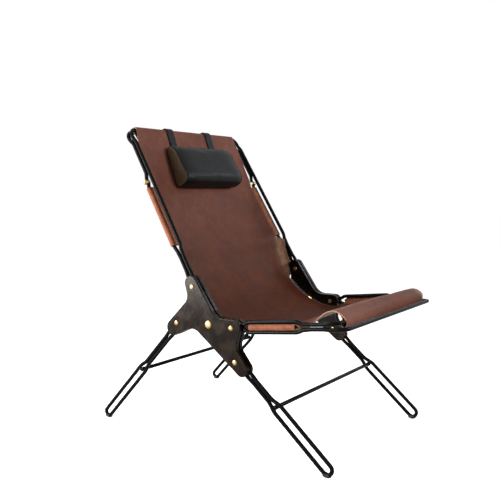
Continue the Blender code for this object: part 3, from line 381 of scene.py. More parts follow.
def fine_leather_material(name, scale, colours, roughs):
    """Smooth upholstery leather with a small grain and soft wrinkles."""
    s = Shader(name)
    cloud = s.noise(22, 5, 0.6)
    normal = s.bump(s.noise(60, 6, 0.6, s.scaled((1.0, 1.6, 1.6)), 0.5), 0.16, 0.0016)
    normal = s.bump(s.noise(scale * 0.42, 4, 0.65), 0.25, 0.0006, normal)
    normal = s.bump(s.pebbles(scale, 0.25), 0.22, 0.0003, normal)
    return s.finish(s.mix(cloud, *colours), s.span(cloud, 0.3, 0.7, *roughs), normal, IOR=1.20)


def thread_material(name, colour):
    s = Shader(name)
    twist = s.span(s.noise(2600, 2), 0.35, 0.65, 0.0, 0.6)
    return s.finish(s.mix(twist, colour, tuple(c * 0.4 for c in colour)), 0.62)


def nylon_material():
    s = Shader("black_nylon")
    fine = s.noise(900, 3)
    rough = s.span(fine, 0.3, 0.7, 0.42, 0.58)
    return s.finish((0.012, 0.012, 0.0125), rough, s.bump(fine, 0.12, 0.0002), Specular_IOR_Level=0.2)


STEEL, WALNUT, BRASS, NYLON = steel_material(), walnut_material(), brass_material(), nylon_material()
FACE, FLESH, EDGE = hide_face_material(), hide_flesh_material(), hide_edge_material()
CUSHION_LEATHER = fine_leather_material(
    "black_cushion_leather", 900, ((0.0028, 0.0032, 0.0036), (0.0060, 0.0064, 0.0070)), (0.36, 0.48)
)
STRAP_LEATHER = fine_leather_material(
    "black_strap_leather", 1100, ((0.0035, 0.0037, 0.0040), (0.0080, 0.0080, 0.0084)), (0.36, 0.50)
)
# Painted light and painted reflection: the cushion's end panels get a lighter brown in place of the cushion's
# black
CUSHION_END_PAINTED_LIGHT = fine_leather_material(
    "dark_brown_leather", 900, ((0.0800, 0.0500, 0.0290), (0.1350, 0.0880, 0.0520)), (0.42, 0.55)
)
BROWN_THREAD = thread_material("brown_thread", (0.070, 0.030, 0.018))
BLACK_THREAD = thread_material("black_thread", (0.022, 0.021, 0.020))


# Mesh tools


def in_scene(name, data, place=(0, 0, 0), turn=(0, 0, 0)):
    obj = bpy.data.objects.new(name, data)
    obj.location, obj.rotation_euler = place, turn
    bpy.context.scene.collection.objects.link(obj)
    return obj


def add_object(name, mesh, *materials, body="frame", replaces=None):
    """A piece that rides on a body, with these materials."""
    for made in materials:
        mesh.materials.append(made)
    obj = in_scene(name, mesh)
    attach(obj, body)
    if replaces:
        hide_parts(replaces)
    return obj


def shade(mesh, angle=35.0):
    mesh.shade_smooth()
    mesh.set_sharp_from_angle(angle=radians(angle))


def baked(bm, name):
    mesh = bpy.data.meshes.new(name)
    bm.to_mesh(mesh)
    bm.free()
    return mesh


def mesh_of(points, faces, name, angle=35.0):
    rough = bpy.data.meshes.new(name)
    rough.from_pydata([tuple(p) for p in points], [], faces)
    rough.validate()
    bm = bmesh.new()
    bm.from_mesh(rough)
    bmesh.ops.recalc_face_normals(bm, faces=bm.faces)
    mesh = baked(bm, name)
    shade(mesh, angle)
    return mesh


def stand_in(name, points, faces, material, angle=35.0):
    """The finished look of one CAD node."""
    return add_object(f"{name}_shown", mesh_of(points, faces, name, angle), material, replaces=name)


def numbered(count, size, start=0):
    """The point numbers of so many rings, one after the other."""
    return [tuple(range(start + k * size, start + (k + 1) * size)) for k in range(count)]


def bands(rings, around=True, closed=False):
    """Four-sided faces between each ring of point numbers and the next."""
    faces = []
    for one, two in zip(rings, rings[1:] + rings[:1] if closed else rings[1:]):
        for k in range(len(one) if around else len(one) - 1):
            after = (k + 1) % len(one)
            faces.append((one[k], one[after], two[after], two[k]))
    return faces


def capped(rings):
    return bands(rings) + [rings[0], rings[-1]]


def circle(count, radius=1.0):
    """Evenly spaced places on a circle."""
    return [polar(radius, 2 * pi * k / count) for k in range(count)]


def frames_along(path):
    """Two side vectors at each point of a path, turned as little as possible from one to the next."""
    last = len(path) - 1
    tangents = [(path[min(k + 1, last)] - path[max(k - 1, 0)]).normalized() for k in range(len(path))]
    side = tangents[0].orthogonal().normalized()
    sides = []
    for tangent in tangents:
        side = (side - tangent * side.dot(tangent)).normalized()
        sides.append((side, tangent.cross(side)))
    return sides


def rod(name, path, radius=ROD / 2, sides=24):
    """A round rod with flat ends and a small chamfer on each."""
    chamfer = radius * 0.12
    first, last = (path[1] - path[0]).normalized(), (path[-1] - path[-2]).normalized()
    places = [path[0], path[0] + first * chamfer] + path[1:-1] + [path[-1] - last * chamfer, path[-1]]
    radii = [radius - chamfer] + [radius] * (len(places) - 2) + [radius - chamfer]
    points = []
    for place, size, (u, v) in zip(places, radii, frames_along(places)):
        points += [place + u * a + v * b for a, b in circle(sides, size)]
    return stand_in(name, points, capped(numbered(len(places), sides)), STEEL, 50)


def placed(place, axis):
    """A frame at a place with its Z along the axis."""
    return Matrix.Translation(place) @ Vector((0, 0, 1)).rotation_difference(axis).to_matrix().to_4x4()


def turned(profile, place, sides=48):
    """(points, faces) of a profile of (radius, height) turned round +Z. Radius 0 closes an end."""
    points, faces, rings = [], [], []
    for radius, height in profile:
        ring = circle(1 if radius == 0 else sides, radius)
        rings.append(range(len(points), len(points) + len(ring)))
        points += [place @ Vector((x, y, height)) for x, y in ring]
    if len(rings[0]) > 1:
        rings.append(rings[0])
    for one, two in zip(rings, rings[1:]):
        for k in range(sides):
            after = (k + 1) % sides
            corners = (one[k % len(one)], one[after % len(one)], two[after % len(two)], two[k % len(two)])
            distinct = tuple(dict.fromkeys(corners))
            if len(distinct) > 2:
                faces.append(distinct)
    return points, faces


def cylinders(rods):
    """One mesh with a cylinder for each (start, end, radius)."""
    points, faces = [], []
    for start, end, radius in rods:
        length = (end - start).length
        profile = [(0.0, 0.0), (radius, 0.0), (radius, length), (0.0, length)]
        more, loops = turned(profile, placed(start, (end - start).normalized()), 32)
        faces += [tuple(i + len(points) for i in loop) for loop in loops]
        points += more
    return mesh_of(points, faces, "cutter")


def apply(obj):
    """The object's evaluated mesh, in place of its modifiers."""
    bpy.context.view_layer.update()
    made = bpy.data.meshes.new_from_object(obj.evaluated_get(bpy.context.evaluated_depsgraph_get()))
    obj.modifiers.clear()
    obj.data = made


def boolean(obj, mesh, operation="DIFFERENCE"):
    cutter = in_scene("cutter", mesh)
    modifier = obj.modifiers.new("cut", "BOOLEAN")
    modifier.operation, modifier.object, modifier.solver = operation, cutter, "EXACT"
    apply(obj)
    bpy.data.objects.remove(cutter)


HIDE_STITCH = (0.0042, 0.0058, 0.00055)
STRAP_STITCH = (0.0032, 0.0044, 0.00035)
CUSHION_STITCH = (0.0036, 0.0050, 0.00045)


def stitches(name, path, normals, thread, sizes=HIDE_STITCH, body="frame"):
    """A row of thread: each stitch is a short bead that dives into the leather at both its ends."""
    length, pitch, radius = sizes
    path, normals = [Vector(p) for p in path], [Vector(n) for n in normals]
    travel = [0.0]
    for one, two in zip(path, path[1:]):
        travel.append(travel[-1] + (two - one).length)

    def at(distance):
        k = max(i for i in range(len(path) - 1) if travel[i] <= distance or i == 0)
        share = (distance - travel[k]) / max(1e-9, travel[k + 1] - travel[k])
        return path[k].lerp(path[k + 1], share), normals[k].lerp(normals[k + 1], share).normalized()

    points, faces = [], []
    beads, section = 7, 7
    for n in range(max(1, int((travel[-1] - length) / pitch) + 1)):
        start = n * pitch + random.uniform(-0.0002, 0.0002)
        rings = numbered(beads, section, len(points))
        for share in spread(0.0, 1.0, beads):
            distance = min(travel[-1], max(0.0, start + length * share))
            place, normal = at(distance)
            along = at(distance + 0.0004)[0] - place
            along = along.normalized() if along.length > 1e-7 else (path[-1] - path[-2]).normalized()
            across = along.cross(normal).normalized()
            arch = sin(pi * share)
            size = radius * (0.55 + 0.45 * arch)
            middle = place + normal * (radius * 0.85 * arch - radius * 0.5)
            points += [middle + across * (aside * 1.15) + normal * up for aside, up in circle(section, size)]
        faces += capped(rings)
    return add_object(name, mesh_of(points, faces, name, 70), thread, body=body)


# Steel rods


def loop_path(line, sign, tail, reach, bows):
    """A rod up one side, across and down the other. Each of its bows is (size, wide part, ramps)."""
    stations = [-tail, BACK_TAPER_START]
    for _, wide, ramps in bows:
        stations += spread(wide[0] - ramps[0], wide[0], 9) + spread(wide[1], wide[1] + ramps[1], 9)
    run = []
    for s in sorted(set(round(s, 5) for s in stations if s < reach - CORNER_RADIUS)):
        bow = sum(size * swell(s, wide, ramps) for size, wide, ramps in bows)
        run.append((rail_x(line, s), s, sign * (PITCH / 2 + bow)))
    for angle in spread(0.0, pi / 2, 19):
        s = reach - CORNER_RADIUS * (1 - sin(angle))
        run.append((rail_x(line, s) - CORNER_RADIUS * (1 - cos(angle)), s, sign * PITCH / 2))
    return [line.point(-x, s, o) for x, s, o in run] + [line.point(x, s, o) for x, s, o in reversed(run)]


# Each leg: its arm, half the width of its hairpin, and where the two rods part and over what length
LEGS = (("front", "front_leg", 0.015, 0.140, 0.045), ("rear", "rear_leg", 0.0125, 0.1985, 0.036))
LEG_CLOSING = (0.052, 0.030)
GLIDE_SEAT = 0.002 - 0.0007
WELD_OUT = 0.0042
KEEPER_START, KEEPER_LENGTH, KEEPER_TIP = 0.048, 0.168, 0.007
# Each bow of a rod, away from its partner: size, wide part and the ramps at its two ends
CLOSING_BOW = (-(PITCH - LEG_PITCH) / 2, (0.056, 0.096), (0.016, 0.020))
FRONT_BOW = (BACK_BOW[0], (0.141, 0.498), (0.023, 0.030))
REAR_BOW = (BACK_BOW[1], (0.141, 0.350), (0.023, 0.012))
TOP_BOW = (-0.0082, (0.399, 0.498), (0.026, 0.030))
POCKET_BOW = (0.0066, (0.056, 0.208), (0.021, 0.029))
CORNER_BOW = (CLOSING_BOW[0], (0.256, 0.294), (0.018, 0.018))


def leg_path(arm, side, half, start, length):
    """Down one rod of a leg, round its foot and up the other."""
    line = ARMS[arm]
    foot = (half + ROD / 2 + CLEAR + GLIDE_SEAT - HUB_HEIGHT - line.z) / line.dz
    first, run = LEG_CLOSING
    offs = []
    for s in [-TAILS[arm]] + spread(first, first + run, 8) + spread(start, start + length, 16):
        closing = (PITCH - LEG_PITCH) / 2 * (1 - smooth((s - first) / run))
        offs.append((s, LEG_PITCH / 2 + closing + (half - LEG_PITCH / 2) * smooth((s - start) / length)))
    bend = [(foot + half * sin(angle), half * cos(angle)) for angle in spread(0.0, pi, 29)]
    route = offs + bend + [(s, -off) for s, off in reversed(offs)]
    return [line.point(side * SIDE, s, off) for s, off in route]


def cross_place(half, start, length):
    """Where a leg's rods are just far enough apart for the cross rod between them."""
    steepest = (half - LEG_PITCH / 2) / length * pi / 2
    need = (ROD + 0.0005) * hypot(1, steepest)
    share = (need - LEG_PITCH / 2) / (half - LEG_PITCH / 2)
    return start + length * acos(1 - 2 * min(1.0, share)) / pi


def weld(name, centre, ring=ROD / 2 - 0.0002, thick=0.0012):
    """A weld bead: a lumpy ring where the cross rod meets the leg's two rods."""
    turn = placed(centre, Vector((1, 0, 0)))
    points = []
    around, section = 40, 10
    for i, (x, y) in enumerate(circle(around)):
        ripple = 0.16 * sin(2 * pi * i / around * 11)
        lump = thick * (1 + ripple + 0.10 * field.noise(Vector((x * 3, y * 3, 0.3))))
        for out, up in circle(section, lump):
            points.append(turn @ Vector((x * (ring + out), y * (ring + out), up)))
    faces = bands(numbered(around, section), closed=True)
    add_object(name, mesh_of(points, faces, name, 80), STEEL)


def make_rods():
    for name, arm, sign, reach, bows in (
        ("back_front_rod", "back", 1, BACK_REACH, (CLOSING_BOW, FRONT_BOW)),
        ("back_rear_rod", "back", -1, BACK_REACH, (CLOSING_BOW, REAR_BOW, TOP_BOW)),
        ("seat_upper_rod", "seat", 1, UPPER_REACH, (POCKET_BOW, CORNER_BOW)),
        ("seat_lower_rod", "seat", -1, LOWER_REACH, (POCKET_BOW, CORNER_BOW)),
    ):
        rod(name, loop_path(ARMS[arm], sign, TAILS[arm], reach, bows))
    end = SIDE + ROD / 2 - 0.0015
    for where, arm, *hairpin in LEGS:
        s = cross_place(*hairpin)
        for side, tag in SIDES:
            rod(f"leg_{where}_{tag}", leg_path(arm, side, *hairpin))
            for k, sign in enumerate((-1, 1)):
                weld(f"weld_{where}_{tag}_{k}", ARMS[arm].point(side * SIDE + sign * WELD_OUT, s))
        rod(f"cross_rod_{where}", [ARMS[arm].point(x, s) for x in spread(-end, end, 6)])
    radius, tip = KEEPER / 2, KEEPER_TIP
    nose = [(0.0, 0.0), (0.0012, 0.0), (0.002, 0.0006), (radius * 0.96, tip * 0.9), (radius, tip * 1.15)]
    profile = nose + [(r, KEEPER_LENGTH - h) for r, h in reversed(nose)]
    for side, tag in SIDES:
        place = placed(SEAT.point(side * (SIDE + KEEPER_OUT), KEEPER_START), SEAT.direction)
        stand_in(f"seat_keeper_rod_{tag}", *turned(profile, place, 32), STEEL)


# Plates

GROOVE_REACH, HOLE_REACH = 0.073, 0.04


def tangent_angle(one, two):
    dy, dz = two[0] - one[0], two[1] - one[1]
    lean = acos(min(1.0, (one[2] + two[2]) / hypot(dy, dz)))
    return atan2(dz, dy) - one[3] * lean


def plate_outline():
    """The star: a round tip past each bolt and a round valley between each two, joined by tangents."""

    def tip(line, past, radius):
        return (*line.flat(past), radius, 1)

    def valley(reach, angle, radius, neighbours):
        y, z = polar(reach, radians(angle))
        room = min(hypot(n[0] - y, n[1] - z) - n[2] for n in neighbours) - 0.002
        return (y, z, min(radius, room), -1)

    back, seat = tip(BACK, 0.012, 0.022), tip(SEAT, 0.009, 0.023)
    front, rear = tip(FRONT_LEG, 0.029, 0.021), tip(REAR_LEG, 0.023, 0.024)
    circles = [
        back,
        valley(0.0836, 125.0, 0.046, (seat, back)),
        seat,
        valley(0.1417, 201.3, 0.031, (front, seat)),
        front,
        valley(0.0887, -44.8, 0.042, (rear, front)),
        rear,
        valley(0.139, 34.3, 0.033, (back, rear)),
    ]
    outline = []
    for k, (y, z, radius, turn) in enumerate(circles):
        leaving = tangent_angle(circles[k], circles[(k + 1) % len(circles)])
        arriving = tangent_angle(circles[k - 1], circles[k]) + pi
        swing = (leaving - arriving) * turn % (2 * pi) * turn
        steps = max(6, int(abs(degrees(swing)) / 5))
        arc = [polar(radius, angle) for angle in spread(arriving, arriving + swing, steps + 1)]
        outline += [(y + dy, z + dz) for dy, dz in arc]
    return outline


def plate_slab(name, outline, near, far):
    """A slab between two x places, with its far edge rounded and its near edge just broken."""
    bm = bmesh.new()
    face = bm.faces.new([bm.verts.new(world(near, y, z)) for y, z in outline])
    moved = bmesh.ops.extrude_face_region(bm, geom=[face])["geom"]
    shown = [v for v in moved if isinstance(v, bmesh.types.BMVert)]
    bmesh.ops.translate(bm, verts=shown, vec=(far - near, 0, 0))
    for place, width, count in ((far, PLATE_BEVEL, 4), (near, 0.0006, 2)):
        edges = [e for e in bm.edges if all(abs(v.co.x - place) < CLEAR / 2 for v in e.verts)]
        bmesh.ops.bevel(bm, geom=edges, offset=width, segments=count, affect="EDGES", profile=0.5)
    bmesh.ops.recalc_face_normals(bm, faces=bm.faces)
    return add_object(f"{name}_shown", baked(bm, name), WALNUT, replaces=name)


def make_plates():
    outline = plate_outline()
    for side, tag in SIDES:
        for inner, where in ((-1, "outer"), (1, "inner")):
            near = SIDE - inner * PLATE_GAP / 2
            obj = plate_slab(f"plate_{where}_{tag}", outline, side * near, side * (near - inner * PLATE))
            grooves, holes = [], []
            for arm, line in ARMS.items():
                for off in (-PITCH / 2, PITCH / 2):
                    ends = [line.point(side * SIDE, s, off) for s in (-TAILS[arm] - CLEAR, GROOVE_REACH)]
                    grooves.append((*ends, ROD / 2 + CLEAR))
            bores = [(*line.flat(0), BOLT_SHANK) for line in ARMS.values()] + [(0.0, 0.0, HUB_SHANK)]
            reach = side * (SIDE - inner * HOLE_REACH)
            for y, z, shank in bores:
                radius = shank / 2 + CLEAR + (NUT_WALL + CLEAR if inner > 0 else 0)
                holes.append((world(side * SIDE, y, z), world(reach, y, z), radius))
            boolean(obj, cylinders(grooves))
            boolean(obj, cylinders(holes))
            shade(obj.data, 32)
            normals = obj.modifiers.new("normals", "WEIGHTED_NORMAL")
            normals.keep_sharp, normals.weight = True, 100


# Brass

OUTER_FACE = SIDE + PLATE_GAP / 2 + PLATE + CLEAR
INNER_FACE = SIDE - PLATE_GAP / 2 - PLATE
# Each bolt: its head, the height of its dome, its shank and the width of its slot
ARM_BOLT = (0.0155, 0.0032, BOLT_SHANK, 0.0020)
HUB_BOLT = (0.024, 0.0042, HUB_SHANK, 0.0030)
ARM_NUT, HUB_NUT = (0.0135, BOLT_SHANK), (0.020, HUB_SHANK)
STUD_S = 0.350 + 0.012 + CLEAR + 0.004
STUD_RADIUS, STUD_OUT = 0.0075, 0.0095
STRAP_STUD, STRAP_STUD_DOWN = (0.010, 0.0022, 0.004), 0.084


def domed_head(head, height, shank, length):
    """The profile of a domed head with a rolled rim, and of its shank."""
    r = head / 2
    dome = [(0.0, 1.0), (0.25, 0.985), (0.5, 0.93), (0.7, 0.83)]
    dome += [(0.85, 0.68), (0.94, 0.50), (0.985, 0.33), (1.0, 0.18)]
    profile = [(r * a, height * h) for a, h in dome] + [(r * 0.985, 0.00015), (r * 0.96, 0.0)]
    return profile + [(shank / 2, 0.0), (shank / 2, -length), (0.0, -length)]


def make_bolt(name, side, spot, head, height, shank, slot_width):
    """A bolt whose screwdriver slot is turned at random."""
    place = placed(world(side * OUTER_FACE, *spot), Vector((side, 0, 0)))
    profile = domed_head(head, height, shank, OUTER_FACE - INNER_FACE - 0.0012)
    obj = stand_in(name, *turned(profile, place, 56), BRASS, 50)
    turn = Matrix.Rotation(random.uniform(0, pi), 4, "Z")
    size = Matrix.Diagonal((head * 1.3, slot_width, 0.0028, 1))
    bm = bmesh.new()
    bmesh.ops.create_cube(bm, size=1, matrix=place @ turn @ Matrix.Translation((0, 0, height)) @ size)
    boolean(obj, baked(bm, "slot"))
    shade(obj.data, 40)


def make_nut(name, side, spot, flange, shank):
    """A barrel nut: a thin domed flange and a sleeve round the bolt's end."""
    place = placed(world(side * (INNER_FACE - CLEAR), *spot), Vector((side, 0, 0)))
    bore, f = shank / 2 + CLEAR, flange / 2
    profile = [(0.0, -0.0015), (bore * 0.9, -0.0015), (bore * 0.9 + 0.0004, -0.0021), (f * 0.72, -0.0022)]
    profile += [(f * 0.93, -0.0019), (f, -0.0011), (f, 0.0), (bore + NUT_WALL, 0.0), (bore + NUT_WALL, 0.009)]
    profile += [(bore, 0.009), (bore, 0.0009), (0.0, 0.0009)]
    stand_in(name, *turned(profile, place), BRASS)


def make_sleeve_stud(side, tag):
    """A ball on a ring round the rear rod, just above the sleeve's end."""
    spot = BACK.point(side * rail_x(BACK, STUD_S), STUD_S, -PITCH / 2)
    bore = ROD / 2 + CLEAR
    half = [(bore, 0.0037), (bore + 0.0016, 0.004), (bore + 0.002, 0.0034)]
    ring = turned(half + [(r, -h) for r, h in reversed(half)], placed(spot, BACK.direction), 40)
    obj = stand_in(f"sleeve_stud_{tag}", *ring, BRASS)
    profile = [polar(STUD_RADIUS, radians(angle)) for angle in range(-78, 90, 12)]
    profile = [(0.0, -STUD_RADIUS)] + profile + [(0.0, STUD_RADIUS)]
    out = Vector((side, 0, 0))
    boolean(obj, mesh_of(*turned(profile, placed(spot + out * STUD_OUT, out), 40), "ball"), "UNION")
    reach = BACK.direction * 0.016
    boolean(obj, cylinders([(spot - reach, spot + reach, bore)]))
    shade(obj.data, 40)


def make_brass():
    for side, tag in SIDES:
        for arm, line in ARMS.items():
            make_bolt(f"bolt_{arm}_{tag}", side, line.flat(0), *ARM_BOLT)
        make_bolt(f"hub_bolt_{tag}", side, (0, 0), *HUB_BOLT)
        for arm, line in ARMS.items():
            make_nut(f"nut_{arm}_{tag}", side, line.flat(0), *ARM_NUT)
        make_nut(f"hub_nut_{tag}", side, (0, 0), *HUB_NUT)
        make_sleeve_stud(side, tag)
        under = TAIL_RISE - STRAP_THICK / 2 - CLEAR
        profile = domed_head(*STRAP_STUD, WRAP - LEATHER / 2 - LAYER_GAP - under)
        place = placed(lean_point(side * STRAP_X, STRAP_STUD_DOWN, under), -LEAN_NORMAL)
        stand_in(f"strap_stud_{tag}", *turned(profile, place, 56), BRASS, 50)


# The hide. Each row of it is (edge place, middle place, half width), with the places in the side plane.

LAYER = LEATHER + LAYER_GAP
EDGE_INSET = 0.024
ROLL_HALF, BEND_HALF, TOP_HALF = 0.259, 0.264, 0.2555
CREST_S, CREST_OFF = UPPER_REACH - 0.029, PITCH / 2 + 0.032
ROLL_DROOP = 0.0075
SLOPE_LENGTH = 0.108
SEAT_END, BACK_START = POCKET[0] - LEATHER, SLEEVE[0] - LEATHER
COLUMNS = 61
FLANGE = (0.022, 0.027)
ROLLED_ROWS, TOP_ROWS = 26, 36
# How far the far end of the roll hangs lower and reaches out, along all of the roll and more at its crest
FAR_DROP, FAR_REACH, FAR_CREST_REACH = 0.0045, 0.006, 0.021
# Heights of the long and the short waves in a used hide
LONG_WAVE, SHORT_WAVE = 0.0016, 0.0007
# How wide the pale cut shows: on the far free edge, on the near one and on all others
FAR_RIM, NEAR_RIM, OTHER_RIM = 0.016, 0.006, 0.004
EDGE_BEVEL = 0.0007
SEAM_INSETS = (0.0085, 0.0145)


def back_middle(s):
    """The middle of the back: taut from the top rod, and slack again below the stretch that leans."""
    turn_s = BACK_REACH - LEAN_LENGTH * cos(LEAN) - WRAP * sin(LEAN)
    turn_off = TOP_OFF - LEAN_LENGTH * sin(LEAN) + WRAP * cos(LEAN)
    if s >= turn_s:
        return turn_off + (s - turn_s) * LEAN_SLOPE
    return turn_off - LEAN_SLOPE * LEAN_FADE * (1 - exp((s - turn_s) / LEAN_FADE))


def back_edge(s):
    share = max(0.0, (s - SLEEVE[1]) / (BACK_REACH - SLEEVE[1]))
    return -BACK_SINK + (TOP_OFF + WRAP + BACK_SINK) * share**1.5


def bezier(start, first_pull, last_pull, end, t):
    """A cubic curve whose pulls are (length, angle in degrees) from its two ends."""
    corners = [start]
    for (y, z), (length, angle) in ((start, first_pull), (end, last_pull)):
        dy, dz = polar(length, radians(angle))
        corners.append((y + dy, z + dz))
    weights = ((1 - t) ** 3, 3 * (1 - t) ** 2 * t, 3 * (1 - t) * t * t, t**3)
    return tuple(sum(w * p[i] for w, p in zip(weights, corners + [end])) for i in range(2))


def roll_rows():
    """The roll at the front: from its hem, round the front rod and up to the crest."""
    nose_s, rod_off = UPPER_REACH + WRAP, PITCH / 2
    shares = ((0.0, 1.0), (0.17, 0.985), (0.45, 0.8), (0.74, 0.49), (0.93, 0.2))
    reach, rise = nose_s - CREST_S, CREST_OFF - rod_off
    curl = [(CREST_S + reach * along, rod_off + rise * up) for along, up in shares]
    ds, doff = curl[3][0] - curl[2][0], curl[3][1] - curl[2][1]
    size = hypot(ds, doff)
    places = [(s + doff / size * LAYER, off - ds / size * LAYER) for s, off in curl[2:4]]
    for angle in spread(112.0, 360.0, 16):
        ds, doff = polar(WRAP, radians(angle))
        hang = ROLL_DROOP * smooth(remap(angle, 150.0, 215.0))
        places.append((UPPER_REACH + ds, rod_off - hang + doff))
    places += reversed(curl)
    return [(SEAT.flat(*place), SEAT.flat(*place), ROLL_HALF) for place in places]


def seat_rows():
    """The roll's back slope, then the seat between its pockets."""
    half = SIDE - EDGE_INSET

    def middle(s):
        return SEAT.flat(s, -SEAT_SAG + (CREST_OFF + SEAT_SAG) * (s - SEAT_END) / (CREST_S - SEAT_END))

    rows = []
    for along, up in ((0.12, 0.955), (0.28, 0.81), (0.46, 0.50), (0.64, 0.19), (0.82, 0.02)):
        s = CREST_S - SLOPE_LENGTH * along
        edge = SEAT.flat(s, -SEAT_SINK + (CREST_OFF + SEAT_SINK) * up)
        rows.append((edge, middle(s), ROLL_HALF + (half - ROLL_HALF) * along))
    beside = spread(POCKET[1] + LEATHER, SEAT_END, 5)
    return rows + [(SEAT.flat(s, -SEAT_SINK), middle(s), half) for s in beside]


def bend_rows():
    """The free stretch where the seat turns up into the back."""
    edge = [SEAT.flat(SEAT_END, -SEAT_SINK), (0.065, -40.0), (0.2025, 268.0)]
    edge.append(BACK.flat(BACK_START, back_edge(BACK_START)))
    middle = [SEAT.flat(SEAT_END, -SEAT_SAG), (0.092, -14.0), (0.165, 253.0)]
    middle.append(BACK.flat(BACK_START, back_middle(BACK_START)))
    return [(bezier(*edge, t), bezier(*middle, t), BEND_HALF) for t in spread(0.0, 1.0, 12)[1:-1]]


def back_rows():
    """Up the back between its sleeves, over the top rod and down behind to the rear hem."""
    sleeve_end = SLEEVE[1] + LEATHER
    rows = []
    for s in spread(BACK_START, sleeve_end, 6):
        rows.append((BACK.flat(s, back_edge(s)), BACK.flat(s, back_middle(s)), rail_x(BACK, s) - EDGE_INSET))
    for s in spread(sleeve_end, BACK_REACH, 9)[1:]:
        middle = BACK.flat(s, min(back_middle(s), TOP_OFF + WRAP))
        inside = EDGE_INSET - 0.011 * smooth(remap(s, sleeve_end, SLEEVE[1] + 0.026))
        top_half = TOP_HALF + 0.010 * smooth(remap(BACK_REACH - s, 0.0, 0.075))
        rows.append((BACK.flat(s, back_edge(s)), middle, min(rail_x(BACK, s) - inside, top_half)))
    for lean in spread(0.0, pi, 13)[1:]:
        place = BACK.flat(BACK_REACH + WRAP * sin(lean), TOP_OFF + WRAP * cos(lean))
        rows.append((place, place, TOP_HALF))
    for s in spread(BACK_REACH, BACK_REACH - 0.102, 9)[1:]:
        share = min(1.0, (BACK_REACH - s) / 0.052)
        fronts = (back_edge(s), min(back_middle(s), TOP_OFF + WRAP))
        places = [BACK.flat(s, TOP_OFF - WRAP + (front - LAYER - TOP_OFF + WRAP) * share) for front in fronts]
        rows.append((*places, TOP_HALF))
    return rows


def between(t, t0, t1, p0, p1):
    return (t1 - t) / (t1 - t0) * p0 + (t - t0) / (t1 - t0) * p1


def finer(rows, step=0.0055):
    """The same rows on a smooth curve through them, with a row about every step."""
    data = np.array([[*edge, *middle, width] for edge, middle, width in rows])
    gaps = np.linalg.norm(np.diff(data[:, 2:4], axis=0), axis=1)
    knots = np.concatenate([[0.0], np.cumsum(np.sqrt(np.maximum(gaps, 1e-5)))])
    padded = np.vstack([2 * data[0] - data[1], data, 2 * data[-1] - data[-2]])
    marks = np.concatenate([[2 * knots[0] - knots[1]], knots, [2 * knots[-1] - knots[-2]]])
    out = []
    for k, gap in enumerate(gaps):
        p0, p1, p2, p3 = padded[k : k + 4]
        t0, t1, t2, t3 = marks[k : k + 4]
        for t in np.linspace(t1, t2, max(1, int(round(gap / step))), endpoint=False):
            a1, a2, a3 = between(t, t0, t1, p0, p1), between(t, t1, t2, p1, p2), between(t, t2, t3, p2, p3)
            out.append(between(t, t1, t2, between(t, t0, t2, a1, a2), between(t, t1, t3, a2, a3)))
    return np.array(out + [data[-1]])


def eased(rows):
    """The rows with the corners of the roll's back slope rounded off by averages along the hide."""
    s = np.array([SEAT.project(y, z)[0] for y, z in rows[:, 0:2]])
    above_seat = rows[:, 1] > 0.005 - 0.121 * rows[:, 0]
    slope = [r for r in range(3, len(rows) // 2) if 0.215 < s[r] < 0.336 and above_seat[r]]
    for _ in range(12):
        before = rows.copy()
        for r in slope:
            rows[r, :4] = (before[r - 1, :4] + 2 * before[r, :4] + before[r + 1, :4]) / 4
    return rows


def hide_grid():
    """Middle surface of the hide as (rows, columns, 3), with each row's data."""
    rows = eased(finer(roll_rows() + seat_rows() + bend_rows() + back_rows()))
    shares = np.linspace(-1, 1, COLUMNS)
    shares = np.sign(shares) * (1 - (1 - np.abs(shares)) ** 1.35)
    depth = 1 - np.abs(shares) ** 4
    y = rows[:, 0:1] + (rows[:, 2:3] - rows[:, 0:1]) * depth
    z = rows[:, 1:2] + (rows[:, 3:4] - rows[:, 1:2]) * depth
    return np.stack([rows[:, 4:5] * shares, y + HUB_Y, z + HUB_HEIGHT], axis=2), rows


def grid_normals(grid):
    normals = np.cross(np.gradient(grid, axis=1), np.gradient(grid, axis=0))
    return normals / np.maximum(1e-12, np.linalg.norm(normals, axis=2, keepdims=True))


def outside(outline, y, z):
    """How far a place in the side plane is from the plates' outline, less than zero inside it."""
    here, start, end = np.array((y, z)), outline, np.roll(outline, -1, axis=0)
    run = end - start
    share = np.clip(np.sum((here - start) * run, axis=1) / np.maximum(1e-12, np.sum(run * run, axis=1)), 0, 1)
    gap = np.linalg.norm(start + run * share[:, None] - here, axis=1).min()
    above = (start[:, 1] > z) != (end[:, 1] > z)
    cross = start[above, 0] + (z - start[above, 1]) / (end[above, 1] - start[above, 1]) * run[above, 0]
    return -gap if np.count_nonzero(cross > y) % 2 else gap


